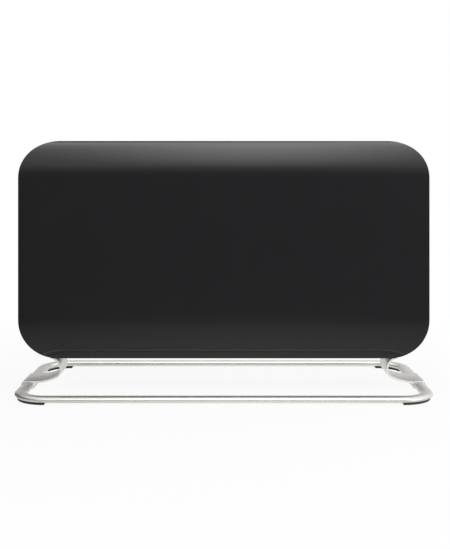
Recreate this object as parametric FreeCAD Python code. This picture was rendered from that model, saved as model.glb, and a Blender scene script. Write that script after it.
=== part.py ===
"""Portable convector heater: a black steel casing carried by two curled brackets on a flat-oval rail stand.

Millimetres. X runs to the right seen from the front, the front faces -Y, Z is up, and the origin lies on the
floor under the middle of the stand.
"""

import FreeCAD, Part
import math
import os

V = FreeCAD.Vector

# Casing: outline seen from the front and section seen from the side
body_width = 658.0
body_height = 351.5
body_front = -50.0
body_depth = 90.0
corner_r = 62.0
top_roll_r = 62.0
crown_flat = 2.0
heel_r = 14.0
sweep_r = 310.0
sweep_height = 76.0
sheet = 1.2
outline_ease = 0.4

# Seam between the front and rear panels, just behind the crown
seam_behind_crown = 1.0
seam_gap = 0.8
lip_length = 7.0
seat_gap = 0.3
cut_over = 1.0

# Stand
stand_inset = 4.0
stand_depth = 278.0
rail_width = 20.0
rail_height = 10.0
rail_edge_r = 4.0
rail_wall = 2.0
rail_bend_r = 44.0
rail_end_gap = 2.0
pad_height = 2.5
pad_width = 12.0
pad_sweep = 72.0

# Foot brackets
bracket_length = 60.0
bracket_behind_tab = 5.75
sleeve_wall = 1.05
sleeve_clear = 0.15
leaf_flat = 8.5
curl_plate = 3.0
curl_lead_r = 85.0
curl_lead_angle = 25.0
curl_hook_r = 13.0
curl_head_r = 21.2
curl_rise = 37.3
curl_over = 12.0
tab_thickness = 3.5
tab_height = 44.0
tab_length = 37.5
tab_lip_gap = 1.5
tab_root = 1.0
tab_corner_r = 7.0
slot_clear = 0.5
slot_reach = 8.0

# Fasteners
screw_clear = 0.1
screw_head_slope = 0.6
rail_screw_r = 1.6
rail_screw_head_r = 3.0
rail_screw_head = 0.9
rail_screw_reach = 4.2
rail_screw_offset = 20.0
bolt_r = 2.5
bolt_head_r = 4.5
bolt_head = 2.6
bolt_chamfer = 0.6
bolt_tip = 1.5
bolt_spacing = 20.0
bolt_above_slot = 26.0
nut_across = 8.0
nut_height = 4.0
panel_screw_r = 2.0
panel_screw_head_r = 3.6
panel_screw_head = 2.0
panel_screw_reach = 8.0
panel_screw_low_margin = 15.0
panel_screw_high_margin = 8.0
control_screw_r = 1.3
control_screw_head_r = 2.4
control_screw_head = 1.4
control_screw_reach = 7.0
grille_screw_r = 1.6
grille_screw_head_r = 3.0
grille_screw_head = 1.4
grille_screw_reach = 5.0

# End frames, partition and baffle
frame_sheet = 1.5
frame_inset = 5.0
frame_flange = 17.0
flange_above_bottom = 29.0
flange_below_outlet = 8.0
front_flange_margin = 3.0
partition_from_controls = 42.0
partition_inset = 11.0
partition_flange = 11.0
baffle_gap = 14.0
baffle_sheet = 0.8
baffle_above_bottom = 61.0
baffle_turn_angle = 60.0
baffle_tab_depth = 12.0
baffle_tab_rise = 38.0
baffle_tab_drop = 20.5

# Outlet grille in the rear roll
outlet_side_margin = 79.0
outlet_drop = 53.5
outlet_edge = 3.5
outlet_clear = 0.4
outlet_border = 4.0
outlet_flange = 5.0
outlet_flange_thickness = 1.3
outlet_pitch = 15.0
outlet_blade = 4.0
outlet_depth = 8.0
outlet_tie = 2.6
outlet_tie_inset = 5.2

# Inlet grille in the underside
inlet_side_margin = 93.0
inlet_front_margin = 7.5
inlet_corner_r = 5.0
inlet_plate = 1.0
inlet_lap = 3.7
inlet_lap_end = 16.0
inlet_slot = 7.0
inlet_pitch = 11.8
inlet_border = 4.0

# Heating element
element_above_bottom = 81.0
element_baffle_gap = 3.8
element_left_gap = 35.5
element_right_gap = 20.0
element_hub_r = 7.0
element_arm = 2.0
element_arm_length = 34.0
element_arm_angle = 38.0
element_slot = 4.0
element_slot_pitch = 15.0
element_slot_start = 14.0
element_slot_end = 29.0
rod_r = 4.0
rod_overhang = 9.0
fit_clear = 0.05
bush_r = 11.0
bush_neck_r = 8.0
bush_flange = 5.0
pin_r = 2.0
pin_length = 9.0

# Control panel on the rear face
control_from_side = 97.0
control_drop = 152.5
tray_width = 56.0
tray_height = 132.0
tray_depth = 10.0
tray_corner_r = 8.0
tray_wall = 2.0
tray_floor = 2.5
tray_rim = 6.0
tray_rim_thickness = 2.5
tray_rim_edge = 1.2
tray_clear = 0.4

# Thermostat and knob
knob_above_centre = 42.0
thermostat_side = 36.0
thermostat_depth = 20.0
thermostat_edge_r = 3.0
bushing_r = 4.5
bushing_length = 3.0
bushing_clear = 0.3
spindle_r = 3.0
spindle_inside = 14.0
spindle_outside = 10.5
spindle_end_gap = 0.5
knob_r = 20.0
knob_skirt = 3.5
knob_edge = 1.0
knob_bar_width = 11.0
knob_bar_margin = 1.5
knob_bar_rise = 9.5
knob_bar_taper = 0.8
knob_lift = 0.9
knob_rest_angle = 45.0
pointer_width = 1.8
pointer_depth = 0.7
pointer_inner = 8.0

# Rocker switches
lower_switch_drop = 43.0
switch_spacing = 30.0
switch_rim_width = 15.0
switch_rim_height = 21.0
switch_rim = 3.0
switch_body_width = 12.8
switch_body_height = 19.0
switch_body_depth = 18.0
switch_edge_r = 1.0
switch_cut_clear = 0.15
pocket_width = 10.6
pocket_height = 17.2
pocket_depth = 7.0
rocker_clear = 0.3
rocker_pivot_rise = 1.4
rocker_pin_r = 0.8
rocker_pin_reach = 1.2
rocker_tip_angle = 27.0
rocker_centre_rise = 3.0
rocker_under = 3.2
rocker_throw = 20.0

# Electrical parts
blade_width = 4.8
blade_thickness = 0.8
blade_length = 7.0
blade_offset = 5.0
thermostat_blade_offset = 9.0
cutout_below_crown = 90.5
cutout_r = 8.0
cutout_height = 9.0
cutout_blade = 8.0
tilt_width = 17.0
tilt_depth = 30.0
tilt_height = 40.0
tilt_above_bottom = 19.0
tilt_behind_wire = 5.0
tilt_edge_r = 2.0
block_width = 40.0
block_depth = 18.0
block_height = 16.0
block_above_bottom = 67.0
block_groove = 2.0
wire_r = 1.4
wire_sides = 6
wire_bend_r = 6.0
wire_hole_r = 3.2
wire_back_run = 11.0
wire_front_step = 12.0
wire_turn_rise = 30.0
wire_end_run = 12.0

# Cord gland
gland_above_bottom = 41.0
gland_flange = 26.0
gland_flange_thickness = 3.0
gland_neck = 18.0
gland_neck_length = 10.0
gland_corner_r = 3.0
gland_flange_r = 6.0
gland_clear = 0.2
gland_bore_r = 4.0
gland_mouth = 1.5
gland_barb = 1.0
gland_barb_length = 3.0

# Heights: the stand carries the curls and the curls carry the casing
rail_z = pad_height + rail_height / 2
sleeve_grow = sleeve_clear + sleeve_wall
leaf_top = rail_z + rail_height / 2 + sleeve_grow
leaf_mid = leaf_top - curl_plate / 2
body_bottom = leaf_top + curl_rise
curl_lead = math.radians(curl_lead_angle)
curl_hook_z = leaf_mid + curl_lead_r - (curl_lead_r - curl_hook_r) * math.cos(curl_lead)
curl_head_angle = math.degrees(math.asin((body_bottom - curl_hook_z) / curl_head_r))
body_top = body_bottom + body_height
floor_inner = body_bottom + sheet
crown_z = body_top - top_roll_r
outlet_low = body_top - outlet_drop
flange_low = body_bottom + flange_above_bottom
flange_high = outlet_low - flange_below_outlet
panel_screw_low = flange_low + panel_screw_low_margin
panel_screw_high = flange_high - panel_screw_high_margin
baffle_low = body_bottom + baffle_above_bottom
baffle_tab_low = baffle_low + baffle_tab_rise
baffle_tab_high = crown_z - baffle_tab_drop
element_z = body_bottom + element_above_bottom
control_z = body_top - control_drop
knob_z = control_z + knob_above_centre
lower_switch_z = control_z - lower_switch_drop
upper_switch_z = lower_switch_z + switch_spacing
cutout_z = crown_z - cutout_below_crown
tilt_bottom = body_bottom + tilt_above_bottom
block_bottom = body_bottom + block_above_bottom
gland_z = body_bottom + gland_above_bottom

# Depths, from the front of the casing to the back
body_rear = body_front + body_depth
rear_roll_r = body_depth - top_roll_r - crown_flat
crown_y = body_front + top_roll_r
seam_y = crown_y + seam_behind_crown
rear_start = seam_y + seam_gap
front_inner = body_front + sheet
rear_inner = body_rear - sheet
sweep_foot_y = body_front + sweep_r - math.sqrt(sweep_r**2 - sweep_height**2)
inlet_front = sweep_foot_y + inlet_front_margin
inlet_rear = seam_y - lip_length - seat_gap - inlet_lap
tab_mid_y = seam_y - lip_length - tab_lip_gap - tab_length / 2
bracket_mid_y = tab_mid_y + bracket_behind_tab
rail_y = stand_depth / 2 - rail_width / 2
baffle_y = body_front + baffle_gap
cutout_blade_y = baffle_y + baffle_sheet + cutout_height - blade_thickness
element_lean = math.radians(element_arm_angle)
element_reach = element_arm_length * math.cos(element_lean) + element_arm / 2 * math.sin(element_lean)
element_y = baffle_y + baffle_sheet + element_baffle_gap + element_reach
tray_floor_back = body_rear - tray_depth
tray_floor_top = tray_floor_back + tray_floor
rocker_pivot_y = tray_floor_top + rocker_pivot_rise
thermostat_tip = tray_floor_back - thermostat_depth - blade_length
switch_tip = tray_floor_top - switch_body_depth - blade_length
wire_back_y = thermostat_tip - wire_back_run
wire_front_y = wire_back_y - wire_front_step
tilt_y = wire_front_y + tilt_behind_wire

# Places across the width, from the side of the casing inward
half_width = body_width / 2
rail_x = half_width - stand_inset - rail_width / 2
curl_start_x = rail_x - leaf_flat
curl_hook_x = curl_start_x - (curl_lead_r - curl_hook_r) * math.sin(curl_lead)
curl_head_x = curl_hook_x - curl_hook_r + curl_head_r
head_end_x = curl_head_x - curl_head_r * math.cos(math.radians(curl_head_angle))
tab_outset = head_end_x + tab_thickness / 2
frame_inner_x = tab_outset
frame_outer_x = tab_outset + frame_sheet
control_x = half_width - control_from_side
partition_x = control_x - partition_from_controls
partition_left = partition_x - sheet / 2
partition_right = partition_x + sheet / 2
element_left = -frame_inner_x + element_left_gap
element_right = partition_x - element_right_gap
cutout_x = (element_left + element_right) / 2
outlet_half_width = half_width - outlet_side_margin
inlet_half_width = half_width - inlet_side_margin

X_AXIS = V(1, 0, 0)
Y_AXIS = V(0, 1, 0)
Z_AXIS = V(0, 0, 1)


def box(x0, x1, y0, y1, z0, z1):
    """Block between two corners."""
    return Part.makeBox(x1 - x0, y1 - y0, z1 - z0, V(x0, y0, z0))


def rod(start, axis, radius, length):
    """Round bar from a start point along an axis."""
    return Part.makeCylinder(radius, length, start, axis)


def drill(start, axis, radius, depth):
    """Tool for a round hole of a given depth, reaching a little past both ends."""
    return rod(start - axis * cut_over, axis, radius, depth + 2 * cut_over)


def joined(solids):
    """Several overlapping solids as one clean solid."""
    whole = solids[0].multiFuse(solids[1:])
    return whole.removeSplitter()


def without(solid, tools):
    """A solid with a list of tools cut away."""
    return solid.cut(Part.makeCompound(tools))


def mirrored(solid):
    """The same solid on the other side of the middle plane."""
    return solid.mirror(V(0, 0, 0), X_AXIS)


def rounded_wire(u0, u1, v0, v1, radius, place):
    """Closed rounded rectangle; place(u, v) puts each point in space."""
    centres = [
        (u1 - radius, v1 - radius, 0),
        (u0 + radius, v1 - radius, 90),
        (u0 + radius, v0 + radius, 180),
        (u1 - radius, v0 + radius, 270),
    ]
    arcs = []
    for u, v, start in centres:
        turn = [math.radians(start + step) for step in (0, 45, 90)]
        arcs.append([place(u + radius * math.cos(a), v + radius * math.sin(a)) for a in turn])
    edges = []
    for arc, following in zip(arcs, arcs[1:] + arcs[:1]):
        edges.append(Part.Arc(*arc).toShape())
        if arc[2].distanceToPoint(following[0]) > 1e-6:
            edges.append(Part.LineSegment(arc[2], following[0]).toShape())
    return Part.Wire(edges)


def slab_y(x0, x1, z0, z1, radius, y0, y1):
    """Rounded rectangle seen from the front, with thickness along Y."""
    wire = rounded_wire(x0, x1, z0, z1, radius, lambda u, v: V(u, y0, v))
    return Part.Face(wire).extrude(V(0, y1 - y0, 0))


def slab_z(x0, x1, y0, y1, radius, z0, z1):
    """Rounded rectangle seen from above, with thickness along Z."""
    wire = rounded_wire(x0, x1, y0, y1, radius, lambda u, v: V(u, v, z0))
    return Part.Face(wire).extrude(V(0, 0, z1 - z0))


def casing_profile(inset, x0, x1):
    """Side section of the casing, drawn in by inset, as a bar from x0 to x1."""
    low = body_bottom + inset
    high = body_top - inset
    front = body_front + inset
    rear = body_rear - inset
    sweep_top = body_bottom + sweep_height
    sweep_in = sweep_r - inset
    sweep_centre = body_front + sweep_r
    sweep_foot = sweep_centre - math.sqrt(sweep_in**2 - (sweep_top - low) ** 2)
    sweep_mid_z = (low + sweep_top) / 2
    sweep_mid = sweep_centre - math.sqrt(sweep_in**2 - (sweep_top - sweep_mid_z) ** 2)
    diagonal = math.sqrt(0.5)
    roll_in = top_roll_r - inset
    back_in = rear_roll_r - inset
    heel_in = heel_r - inset
    back_y = body_rear - rear_roll_r
    back_z = body_top - rear_roll_r
    heel_y = body_rear - heel_r
    heel_z = body_bottom + heel_r
    foot = V(x0, sweep_foot, low)
    sweep_end = V(x0, front, sweep_top)
    roll_start = V(x0, front, crown_z)
    crown = V(x0, crown_y, high)
    back_start = V(x0, back_y, high)
    back_end = V(x0, rear, back_z)
    heel_start = V(x0, rear, heel_z)
    heel_end = V(x0, heel_y, low)
    roll_mid = V(x0, crown_y - roll_in * diagonal, crown_z + roll_in * diagonal)
    back_mid = V(x0, back_y + back_in * diagonal, back_z + back_in * diagonal)
    heel_mid = V(x0, heel_y + heel_in * diagonal, heel_z - heel_in * diagonal)
    edges = [
        Part.Arc(foot, V(x0, sweep_mid, sweep_mid_z), sweep_end).toShape(),
        Part.LineSegment(sweep_end, roll_start).toShape(),
        Part.Arc(roll_start, roll_mid, crown).toShape(),
        Part.LineSegment(crown, back_start).toShape(),
        Part.Arc(back_start, back_mid, back_end).toShape(),
        Part.LineSegment(back_end, heel_start).toShape(),
        Part.Arc(heel_start, heel_mid, heel_end).toShape(),
        Part.LineSegment(heel_end, foot).toShape(),
    ]
    return Part.Face(Part.Wire(edges)).extrude(V(x1 - x0, 0, 0))


def casing_solid(inset):
    """The casing's full volume, drawn in by inset: front outline met by side section."""
    edge = half_width - inset
    outline = slab_y(
        -edge,
        edge,
        body_bottom + inset - outline_ease,
        body_top - inset + outline_ease,
        corner_r - inset,
        body_front - cut_over,
        body_rear + cut_over,
    )
    return outline.common(casing_profile(inset, -half_width - cut_over, half_width + cut_over))


def casing_slice(inset, y0, y1):
    """The casing volume between two depths."""
    return casing_solid(inset).common(box(-body_width, body_width, y0, y1, 0, 2 * body_top))


def casing_ring(outer_inset, inner_inset, y0, y1):
    """A band that follows the casing all round between two depths."""
    return casing_slice(outer_inset, y0, y1).cut(casing_solid(inner_inset))


def sides(solid):
    """A left-hand solid together with its right-hand twin."""
    return [solid, mirrored(solid)]


def bracket_slot():
    """Slot in the casing's underside that the left bracket's tab passes up through."""
    return box(
        -tab_outset - slot_clear,
        -tab_outset + tab_thickness + slot_clear,
        tab_mid_y - tab_length / 2 - slot_clear,
        tab_mid_y + tab_length / 2 + slot_clear,
        body_bottom - slot_reach,
        body_bottom + slot_reach,
    )


def inlet_screw_places():
    """Where the inlet grille is screwed up into the underside."""
    x = inlet_half_width + inlet_lap_end / 2
    y_mid = (inlet_front + inlet_rear) / 2
    y_step = (inlet_rear - inlet_front) / 4
    return [(sx * x, y_mid + sy * y_step) for sx in (-1, 1) for sy in (-1, 1)]


def panel_screw_places():
    """Where the rear panel is screwed to the end frames and the partition."""
    frame_x = frame_outer_x - frame_flange / 2
    columns = [-frame_x, partition_right + partition_flange / 2, frame_x]
    return [(x, z) for x in columns for z in (panel_screw_low, panel_screw_high)]


def control_screw_places():
    """Where the control panel's rim is screwed to the rear panel."""
    z_step = tray_height / 2 + tray_rim / 2
    x_step = tray_width / 2 - tray_corner_r
    return [(control_x + sx * x_step, control_z + sz * z_step) for sx in (-1, 1) for sz in (-1, 1)]


def make_front_panel():
    """Drawn steel front: rolled top, swept foot, flat sides, open underside with slots for the brackets."""
    shell = casing_slice(0, body_front - cut_over, seam_y).cut(casing_solid(sheet))
    window = slab_z(
        -inlet_half_width,
        inlet_half_width,
        inlet_front,
        inlet_rear,
        inlet_corner_r,
        body_bottom - cut_over,
        floor_inner + cut_over,
    )
    cuts = [window] + sides(bracket_slot())
    for x, y in inlet_screw_places():
        cuts.append(drill(V(x, y, body_bottom), Z_AXIS, grille_screw_r + screw_clear, sheet))
    return without(shell, cuts)


def make_rear_panel():
    """Steel rear pan with a joggled lip that slips inside the front panel's rim."""
    lip_outer = sheet + seat_gap
    lip_inner = lip_outer + sheet
    wall = casing_slice(0, rear_start, body_rear + cut_over).cut(casing_solid(sheet))
    lip = casing_ring(lip_outer, lip_inner, seam_y - lip_length, rear_start + sheet)
    step = casing_ring(0, lip_inner, rear_start, rear_start + sheet)
    pan = joined([wall, step, lip])
    outlet = box(
        -outlet_half_width,
        outlet_half_width,
        rear_start + outlet_edge,
        body_rear + cut_over,
        outlet_low,
        body_top + cut_over,
    )
    control = slab_y(
        control_x - tray_width / 2 - tray_clear,
        control_x + tray_width / 2 + tray_clear,
        control_z - tray_height / 2 - tray_clear,
        control_z + tray_height / 2 + tray_clear,
        tray_corner_r + tray_clear,
        rear_inner - cut_over,
        body_rear + cut_over,
    )
    neck = gland_neck / 2 + gland_clear
    gland = slab_y(
        control_x - neck,
        control_x + neck,
        gland_z - neck,
        gland_z + neck,
        gland_corner_r + gland_clear,
        rear_inner - cut_over,
        body_rear + cut_over,
    )
    cuts = [outlet, control, gland]
    for x, z in panel_screw_places():
        cuts.append(drill(V(x, rear_inner, z), Y_AXIS, panel_screw_r + screw_clear, sheet))
    for x, z in control_screw_places():
        cuts.append(drill(V(x, rear_inner, z), Y_AXIS, control_screw_r + screw_clear, sheet))
    return without(pan, cuts)


def make_outlet_grille():
    """Curved insert that follows the rear roll: a border, upright blades, a tie bar and a hidden flange."""
    half = outlet_half_width - outlet_clear
    top_edge = rear_start + outlet_edge + outlet_clear
    low_edge = outlet_low + outlet_clear
    field = casing_slice(seat_gap, top_edge, body_rear + cut_over).cut(casing_solid(outlet_depth))
    field = field.common(box(-half, half, top_edge, body_rear, low_edge, body_top))
    blades = int((2 * half - 2 * outlet_border) / outlet_pitch)
    first = -blades * outlet_pitch / 2 + outlet_blade / 2
    gaps = []
    for i in range(blades):
        x = first + i * outlet_pitch
        gaps.append(
            box(
                x,
                x + outlet_pitch - outlet_blade,
                top_edge + outlet_border,
                body_rear + cut_over,
                low_edge + outlet_border,
                body_top - outlet_border / 2,
            )
        )
    bars = without(field, gaps)
    lean = (rear_roll_r - outlet_tie_inset) * math.sqrt(0.5)
    tie_end = half - outlet_blade / 2
    tie_half = outlet_tie / 2
    tie = box(-tie_end, tie_end, -tie_half, tie_half, -tie_half, tie_half)
    tie.rotate(V(0, 0, 0), X_AXIS, 45)
    tie.translate(V(0, body_rear - rear_roll_r + lean, body_top - rear_roll_r + lean))
    flange_outer = sheet + seat_gap
    band = casing_slice(flange_outer, 0, body_rear + cut_over)
    band = band.cut(casing_solid(flange_outer + outlet_flange_thickness))
    reach = half + outlet_flange
    flange_top = rear_start + sheet + seat_gap
    band = band.common(box(-reach, reach, flange_top, body_rear, outlet_low - outlet_flange, body_top))
    opening = box(
        -half + outlet_border,
        half - outlet_border,
        top_edge + outlet_border / 2,
        body_rear + cut_over,
        low_edge + outlet_border,
        body_top + cut_over,
    )
    return joined([bars, tie, band.cut(opening)])


def make_inlet_grille():
    """Punched steel plate that covers the air inlet in the underside from inside."""
    plate = slab_z(
        -inlet_half_width - inlet_lap_end,
        inlet_half_width + inlet_lap_end,
        inlet_front - inlet_lap,
        inlet_rear + inlet_lap,
        inlet_corner_r,
        floor_inner,
        floor_inner + inlet_plate,
    )
    count = int((2 * inlet_half_width - 2 * inlet_border) / inlet_pitch)
    first = -(count - 1) * inlet_pitch / 2
    cuts = []
    for i in range(count):
        x = first + i * inlet_pitch
        cuts.append(
            box(
                x - inlet_slot / 2,
                x + inlet_slot / 2,
                inlet_front + inlet_border,
                inlet_rear - inlet_border,
                floor_inner - cut_over,
                floor_inner + inlet_plate + cut_over,
            )
        )
    for x, y in inlet_screw_places():
        cuts.append(drill(V(x, y, floor_inner), Z_AXIS, grille_screw_r + screw_clear, inlet_plate))
    return without(plate, cuts)


def bolt_places():
    """Heights and depths of the bolts that hold a bracket tab to its end frame."""
    z = body_bottom + bolt_above_slot
    return [(tab_mid_y + s * bolt_spacing / 2, z) for s in (-1, 1)]


def make_end_frame():
    """Left end frame: a web that follows the casing section, flanged to the front and rear panels."""
    web = casing_solid(frame_inset).common(
        box(-frame_outer_x, -frame_inner_x, body_front, body_rear, 0, 2 * body_top)
    )
    front_low = body_bottom + sweep_height + front_flange_margin
    front_high = crown_z - front_flange_margin
    flange_end = -frame_outer_x + frame_flange
    pieces = [
        web,
        box(-frame_outer_x, flange_end, front_inner, front_inner + frame_sheet, front_low, front_high),
        box(
            -frame_outer_x,
            -frame_inner_x,
            front_inner,
            front_inner + 2 * frame_inset,
            front_low,
            front_high,
        ),
        box(-frame_outer_x, flange_end, rear_inner - frame_sheet, rear_inner, flange_low, flange_high),
        box(
            -frame_outer_x,
            -frame_inner_x,
            rear_inner - 2 * frame_inset,
            rear_inner,
            flange_low,
            flange_high,
        ),
    ]
    frame = joined(pieces)
    cuts = []
    for y, z in bolt_places():
        cuts.append(drill(V(-frame_outer_x, y, z), X_AXIS, bolt_r + screw_clear, frame_sheet))
    for z in (panel_screw_low, panel_screw_high):
        place = V(-frame_outer_x + frame_flange / 2, rear_inner - frame_sheet, z)
        cuts.append(drill(place, Y_AXIS, panel_screw_r + screw_clear, frame_sheet))
    return without(frame, cuts)


def make_left_end_frame():
    """End frame on the left, pierced for the element bush and one lead."""
    holes = [
        drill(V(-frame_outer_x, element_y, element_z), X_AXIS, bush_neck_r + screw_clear, frame_sheet),
        drill(V(-frame_outer_x, cutout_blade_y, cutout_z), X_AXIS, wire_hole_r, frame_sheet),
    ]
    return without(make_end_frame(), holes)


def make_right_end_frame():
    """End frame on the right, next to the controls."""
    return mirrored(make_end_frame())


def make_control_partition():
    """Upright sheet between the hot duct and the controls, flanged to both panels."""
    web = casing_solid(partition_inset).common(
        box(partition_left, partition_right, body_front, body_rear, 0, 2 * body_top)
    )
    front_low = body_bottom + sweep_height + front_flange_margin
    front_high = crown_z - front_flange_margin
    flange_end = partition_right + partition_flange
    reach = 2 * partition_inset
    pieces = [
        web,
        box(partition_left, flange_end, front_inner, front_inner + sheet, front_low, front_high),
        box(partition_left, partition_right, front_inner, front_inner + reach, front_low, front_high),
        box(partition_left, flange_end, rear_inner - sheet, rear_inner, flange_low, flange_high),
        box(partition_left, partition_right, rear_inner - reach, rear_inner, flange_low, flange_high),
    ]
    cuts = [
        drill(V(partition_left, element_y, element_z), X_AXIS, bush_neck_r + screw_clear, sheet),
        drill(V(partition_left, cutout_blade_y, cutout_z), X_AXIS, wire_hole_r, sheet),
    ]
    for z in (panel_screw_low, panel_screw_high):
        place = V(partition_right + partition_flange / 2, rear_inner - sheet, z)
        cuts.append(drill(place, Y_AXIS, panel_screw_r + screw_clear, sheet))
    return without(joined(pieces), cuts)


def make_air_baffle():
    """Bent sheet behind the front panel that turns the warm air back towards the outlet."""
    left = -frame_inner_x
    right = partition_left
    outer_r = crown_y - baffle_y
    inner_r = outer_r - baffle_sheet

    def on_roll(radius, degrees):
        angle = math.radians(degrees)
        return V(left, crown_y - radius * math.cos(angle), crown_z + radius * math.sin(angle))

    half_turn = baffle_turn_angle / 2
    outer_foot = V(left, baffle_y, baffle_low)
    inner_foot = V(left, baffle_y + baffle_sheet, baffle_low)
    outer_arc = [on_roll(outer_r, a) for a in (0, half_turn, baffle_turn_angle)]
    inner_arc = [on_roll(inner_r, a) for a in (baffle_turn_angle, half_turn, 0)]
    edges = [
        Part.LineSegment(outer_foot, outer_arc[0]).toShape(),
        Part.Arc(*outer_arc).toShape(),
        Part.LineSegment(outer_arc[2], inner_arc[0]).toShape(),
        Part.Arc(*inner_arc).toShape(),
        Part.LineSegment(inner_arc[2], inner_foot).toShape(),
        Part.LineSegment(inner_foot, outer_foot).toShape(),
    ]
    sheet_bar = Part.Face(Part.Wire(edges)).extrude(V(right - left, 0, 0))
    tab_back = baffle_y + baffle_tab_depth
    left_tab = box(left, left + baffle_sheet, baffle_y, tab_back, baffle_tab_low, baffle_tab_high)
    right_tab = box(right - baffle_sheet, right, baffle_y, tab_back, baffle_tab_low, baffle_tab_high)
    lead_gap = box(
        left,
        right,
        cutout_blade_y - wire_hole_r,
        tab_back + cut_over,
        cutout_z - wire_hole_r,
        cutout_z + wire_hole_r,
    )
    return without(joined([sheet_bar, left_tab, right_tab]), [lead_gap])


def turned_about_element(solid, degrees):
    """A copy of a solid turned about the element's axis."""
    copy = solid.copy()
    copy.rotate(V(0, element_y, element_z), X_AXIS, degrees)
    return copy


def make_element_fins():
    """X-shaped aluminium body of the element with punched slots in its four arms."""
    length = element_right - element_left
    start = V(element_left, element_y, element_z)
    arm = box(
        element_left,
        element_right,
        element_y,
        element_y + element_arm_length,
        element_z - element_arm / 2,
        element_z + element_arm / 2,
    )
    angles = [element_arm_angle, 180 - element_arm_angle, 180 + element_arm_angle, -element_arm_angle]
    arms = [turned_about_element(arm, a) for a in angles]
    body = joined([rod(start, X_AXIS, element_hub_r, length)] + arms)
    cuts = [rod(start, X_AXIS, rod_r + fit_clear, length)]
    count = int(length / element_slot_pitch) - 1
    first = element_left + (length - (count - 1) * element_slot_pitch) / 2
    for i in range(count):
        x = first + i * element_slot_pitch
        slot = box(
            x - element_slot / 2,
            x + element_slot / 2,
            element_y + element_slot_start,
            element_y + element_slot_end,
            element_z - element_arm,
            element_z + element_arm,
        )
        cuts.extend(turned_about_element(slot, a) for a in angles)
    return without(body, cuts)


def rod_ends():
    """Left and right ends of the heating rod."""
    return -frame_outer_x - rod_overhang, partition_right + rod_overhang


def make_element_rod():
    """Sheathed heating rod with a terminal pin at each end."""
    left, right = rod_ends()
    pieces = [
        rod(V(left, element_y, element_z), X_AXIS, rod_r, right - left),
        rod(V(left - pin_length, element_y, element_z), X_AXIS, pin_r, pin_length),
        rod(V(right, element_y, element_z), X_AXIS, pin_r, pin_length),
    ]
    return joined(pieces)


def element_bush(x_left, thickness):
    """Grooved insulating bush that sits in a sheet and carries the rod."""
    start = x_left - seat_gap - bush_flange
    inner_gap = thickness + 2 * seat_gap
    at = V(start, element_y, element_z)
    second = V(start + bush_flange + inner_gap, element_y, element_z)
    pieces = [
        rod(at, X_AXIS, bush_r, bush_flange),
        rod(at, X_AXIS, bush_neck_r, 2 * bush_flange + inner_gap),
        rod(second, X_AXIS, bush_r, bush_flange),
    ]
    bore = rod(at, X_AXIS, rod_r + fit_clear, 2 * bush_flange + inner_gap)
    return joined(pieces).cut(bore)


def make_left_element_bush():
    """Bush in the left end frame."""
    return element_bush(-frame_outer_x, frame_sheet)


def make_right_element_bush():
    """Bush in the control partition."""
    return element_bush(partition_left, sheet)


def make_thermal_cutout():
    """Disc cut-out fixed to the baffle, with a blade to each side."""
    face = baffle_y + baffle_sheet
    disc = rod(V(cutout_x, face, cutout_z), Y_AXIS, cutout_r, cutout_height)
    blade = box(
        cutout_x - cutout_r - cutout_blade,
        cutout_x + cutout_r + cutout_blade,
        cutout_blade_y - blade_thickness / 2,
        cutout_blade_y + blade_thickness / 2,
        cutout_z - blade_width / 2,
        cutout_z + blade_width / 2,
    )
    return joined([disc, blade])


def make_tilt_switch():
    """Sealed tip-over switch fixed to the partition."""
    wire = rounded_wire(
        tilt_y - tilt_depth / 2,
        tilt_y + tilt_depth / 2,
        tilt_bottom,
        tilt_bottom + tilt_height,
        tilt_edge_r,
        lambda u, v: V(partition_right, u, v),
    )
    return Part.Face(wire).extrude(V(tilt_width, 0, 0))


def make_terminal_block():
    """Three-way terminal block on the rear panel's inner face, grooved between its ways."""
    block = box(
        control_x - block_width / 2,
        control_x + block_width / 2,
        rear_inner - block_depth,
        rear_inner,
        block_bottom,
        block_bottom + block_height,
    )
    cuts = []
    for s in (-1, 1):
        x = control_x + s * block_width / 6
        cuts.append(
            box(
                x - block_groove / 2,
                x + block_groove / 2,
                rear_inner - block_depth,
                rear_inner - block_depth / 2,
                block_bottom,
                block_bottom + block_height,
            )
        )
    return without(block, cuts)


def make_control_panel():
    """Moulded tray let into the rear panel, its floor pierced for the thermostat and two switches."""
    half_x = tray_width / 2
    half_z = tray_height / 2
    tub = slab_y(
        control_x - half_x,
        control_x + half_x,
        control_z - half_z,
        control_z + half_z,
        tray_corner_r,
        tray_floor_back,
        body_rear,
    )
    rim = slab_y(
        control_x - half_x - tray_rim,
        control_x + half_x + tray_rim,
        control_z - half_z - tray_rim,
        control_z + half_z + tray_rim,
        tray_corner_r + tray_rim,
        body_rear,
        body_rear + tray_rim_thickness,
    )
    rim_edges = [e for e in rim.Edges if abs(e.CenterOfMass.y - rim.BoundBox.YMax) < 1e-6]
    rim = rim.makeChamfer(tray_rim_edge, rim_edges)
    recess = slab_y(
        control_x - half_x + tray_wall,
        control_x + half_x - tray_wall,
        control_z - half_z + tray_wall,
        control_z + half_z - tray_wall,
        tray_corner_r - tray_wall,
        tray_floor_top,
        body_rear + tray_rim_thickness + cut_over,
    )
    cuts = [recess]
    cuts.append(drill(V(control_x, tray_floor_back, knob_z), Y_AXIS, bushing_r + bushing_clear, tray_floor))
    for z in (lower_switch_z, upper_switch_z):
        cuts.append(
            box(
                control_x - switch_body_width / 2 - switch_cut_clear,
                control_x + switch_body_width / 2 + switch_cut_clear,
                tray_floor_back - cut_over,
                tray_floor_top + cut_over,
                z - switch_body_height / 2 - switch_cut_clear,
                z + switch_body_height / 2 + switch_cut_clear,
            )
        )
    for x, z in control_screw_places():
        cuts.append(drill(V(x, body_rear, z), Y_AXIS, control_screw_r + screw_clear, tray_rim_thickness))
    return without(joined([tub, rim]), cuts)


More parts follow.
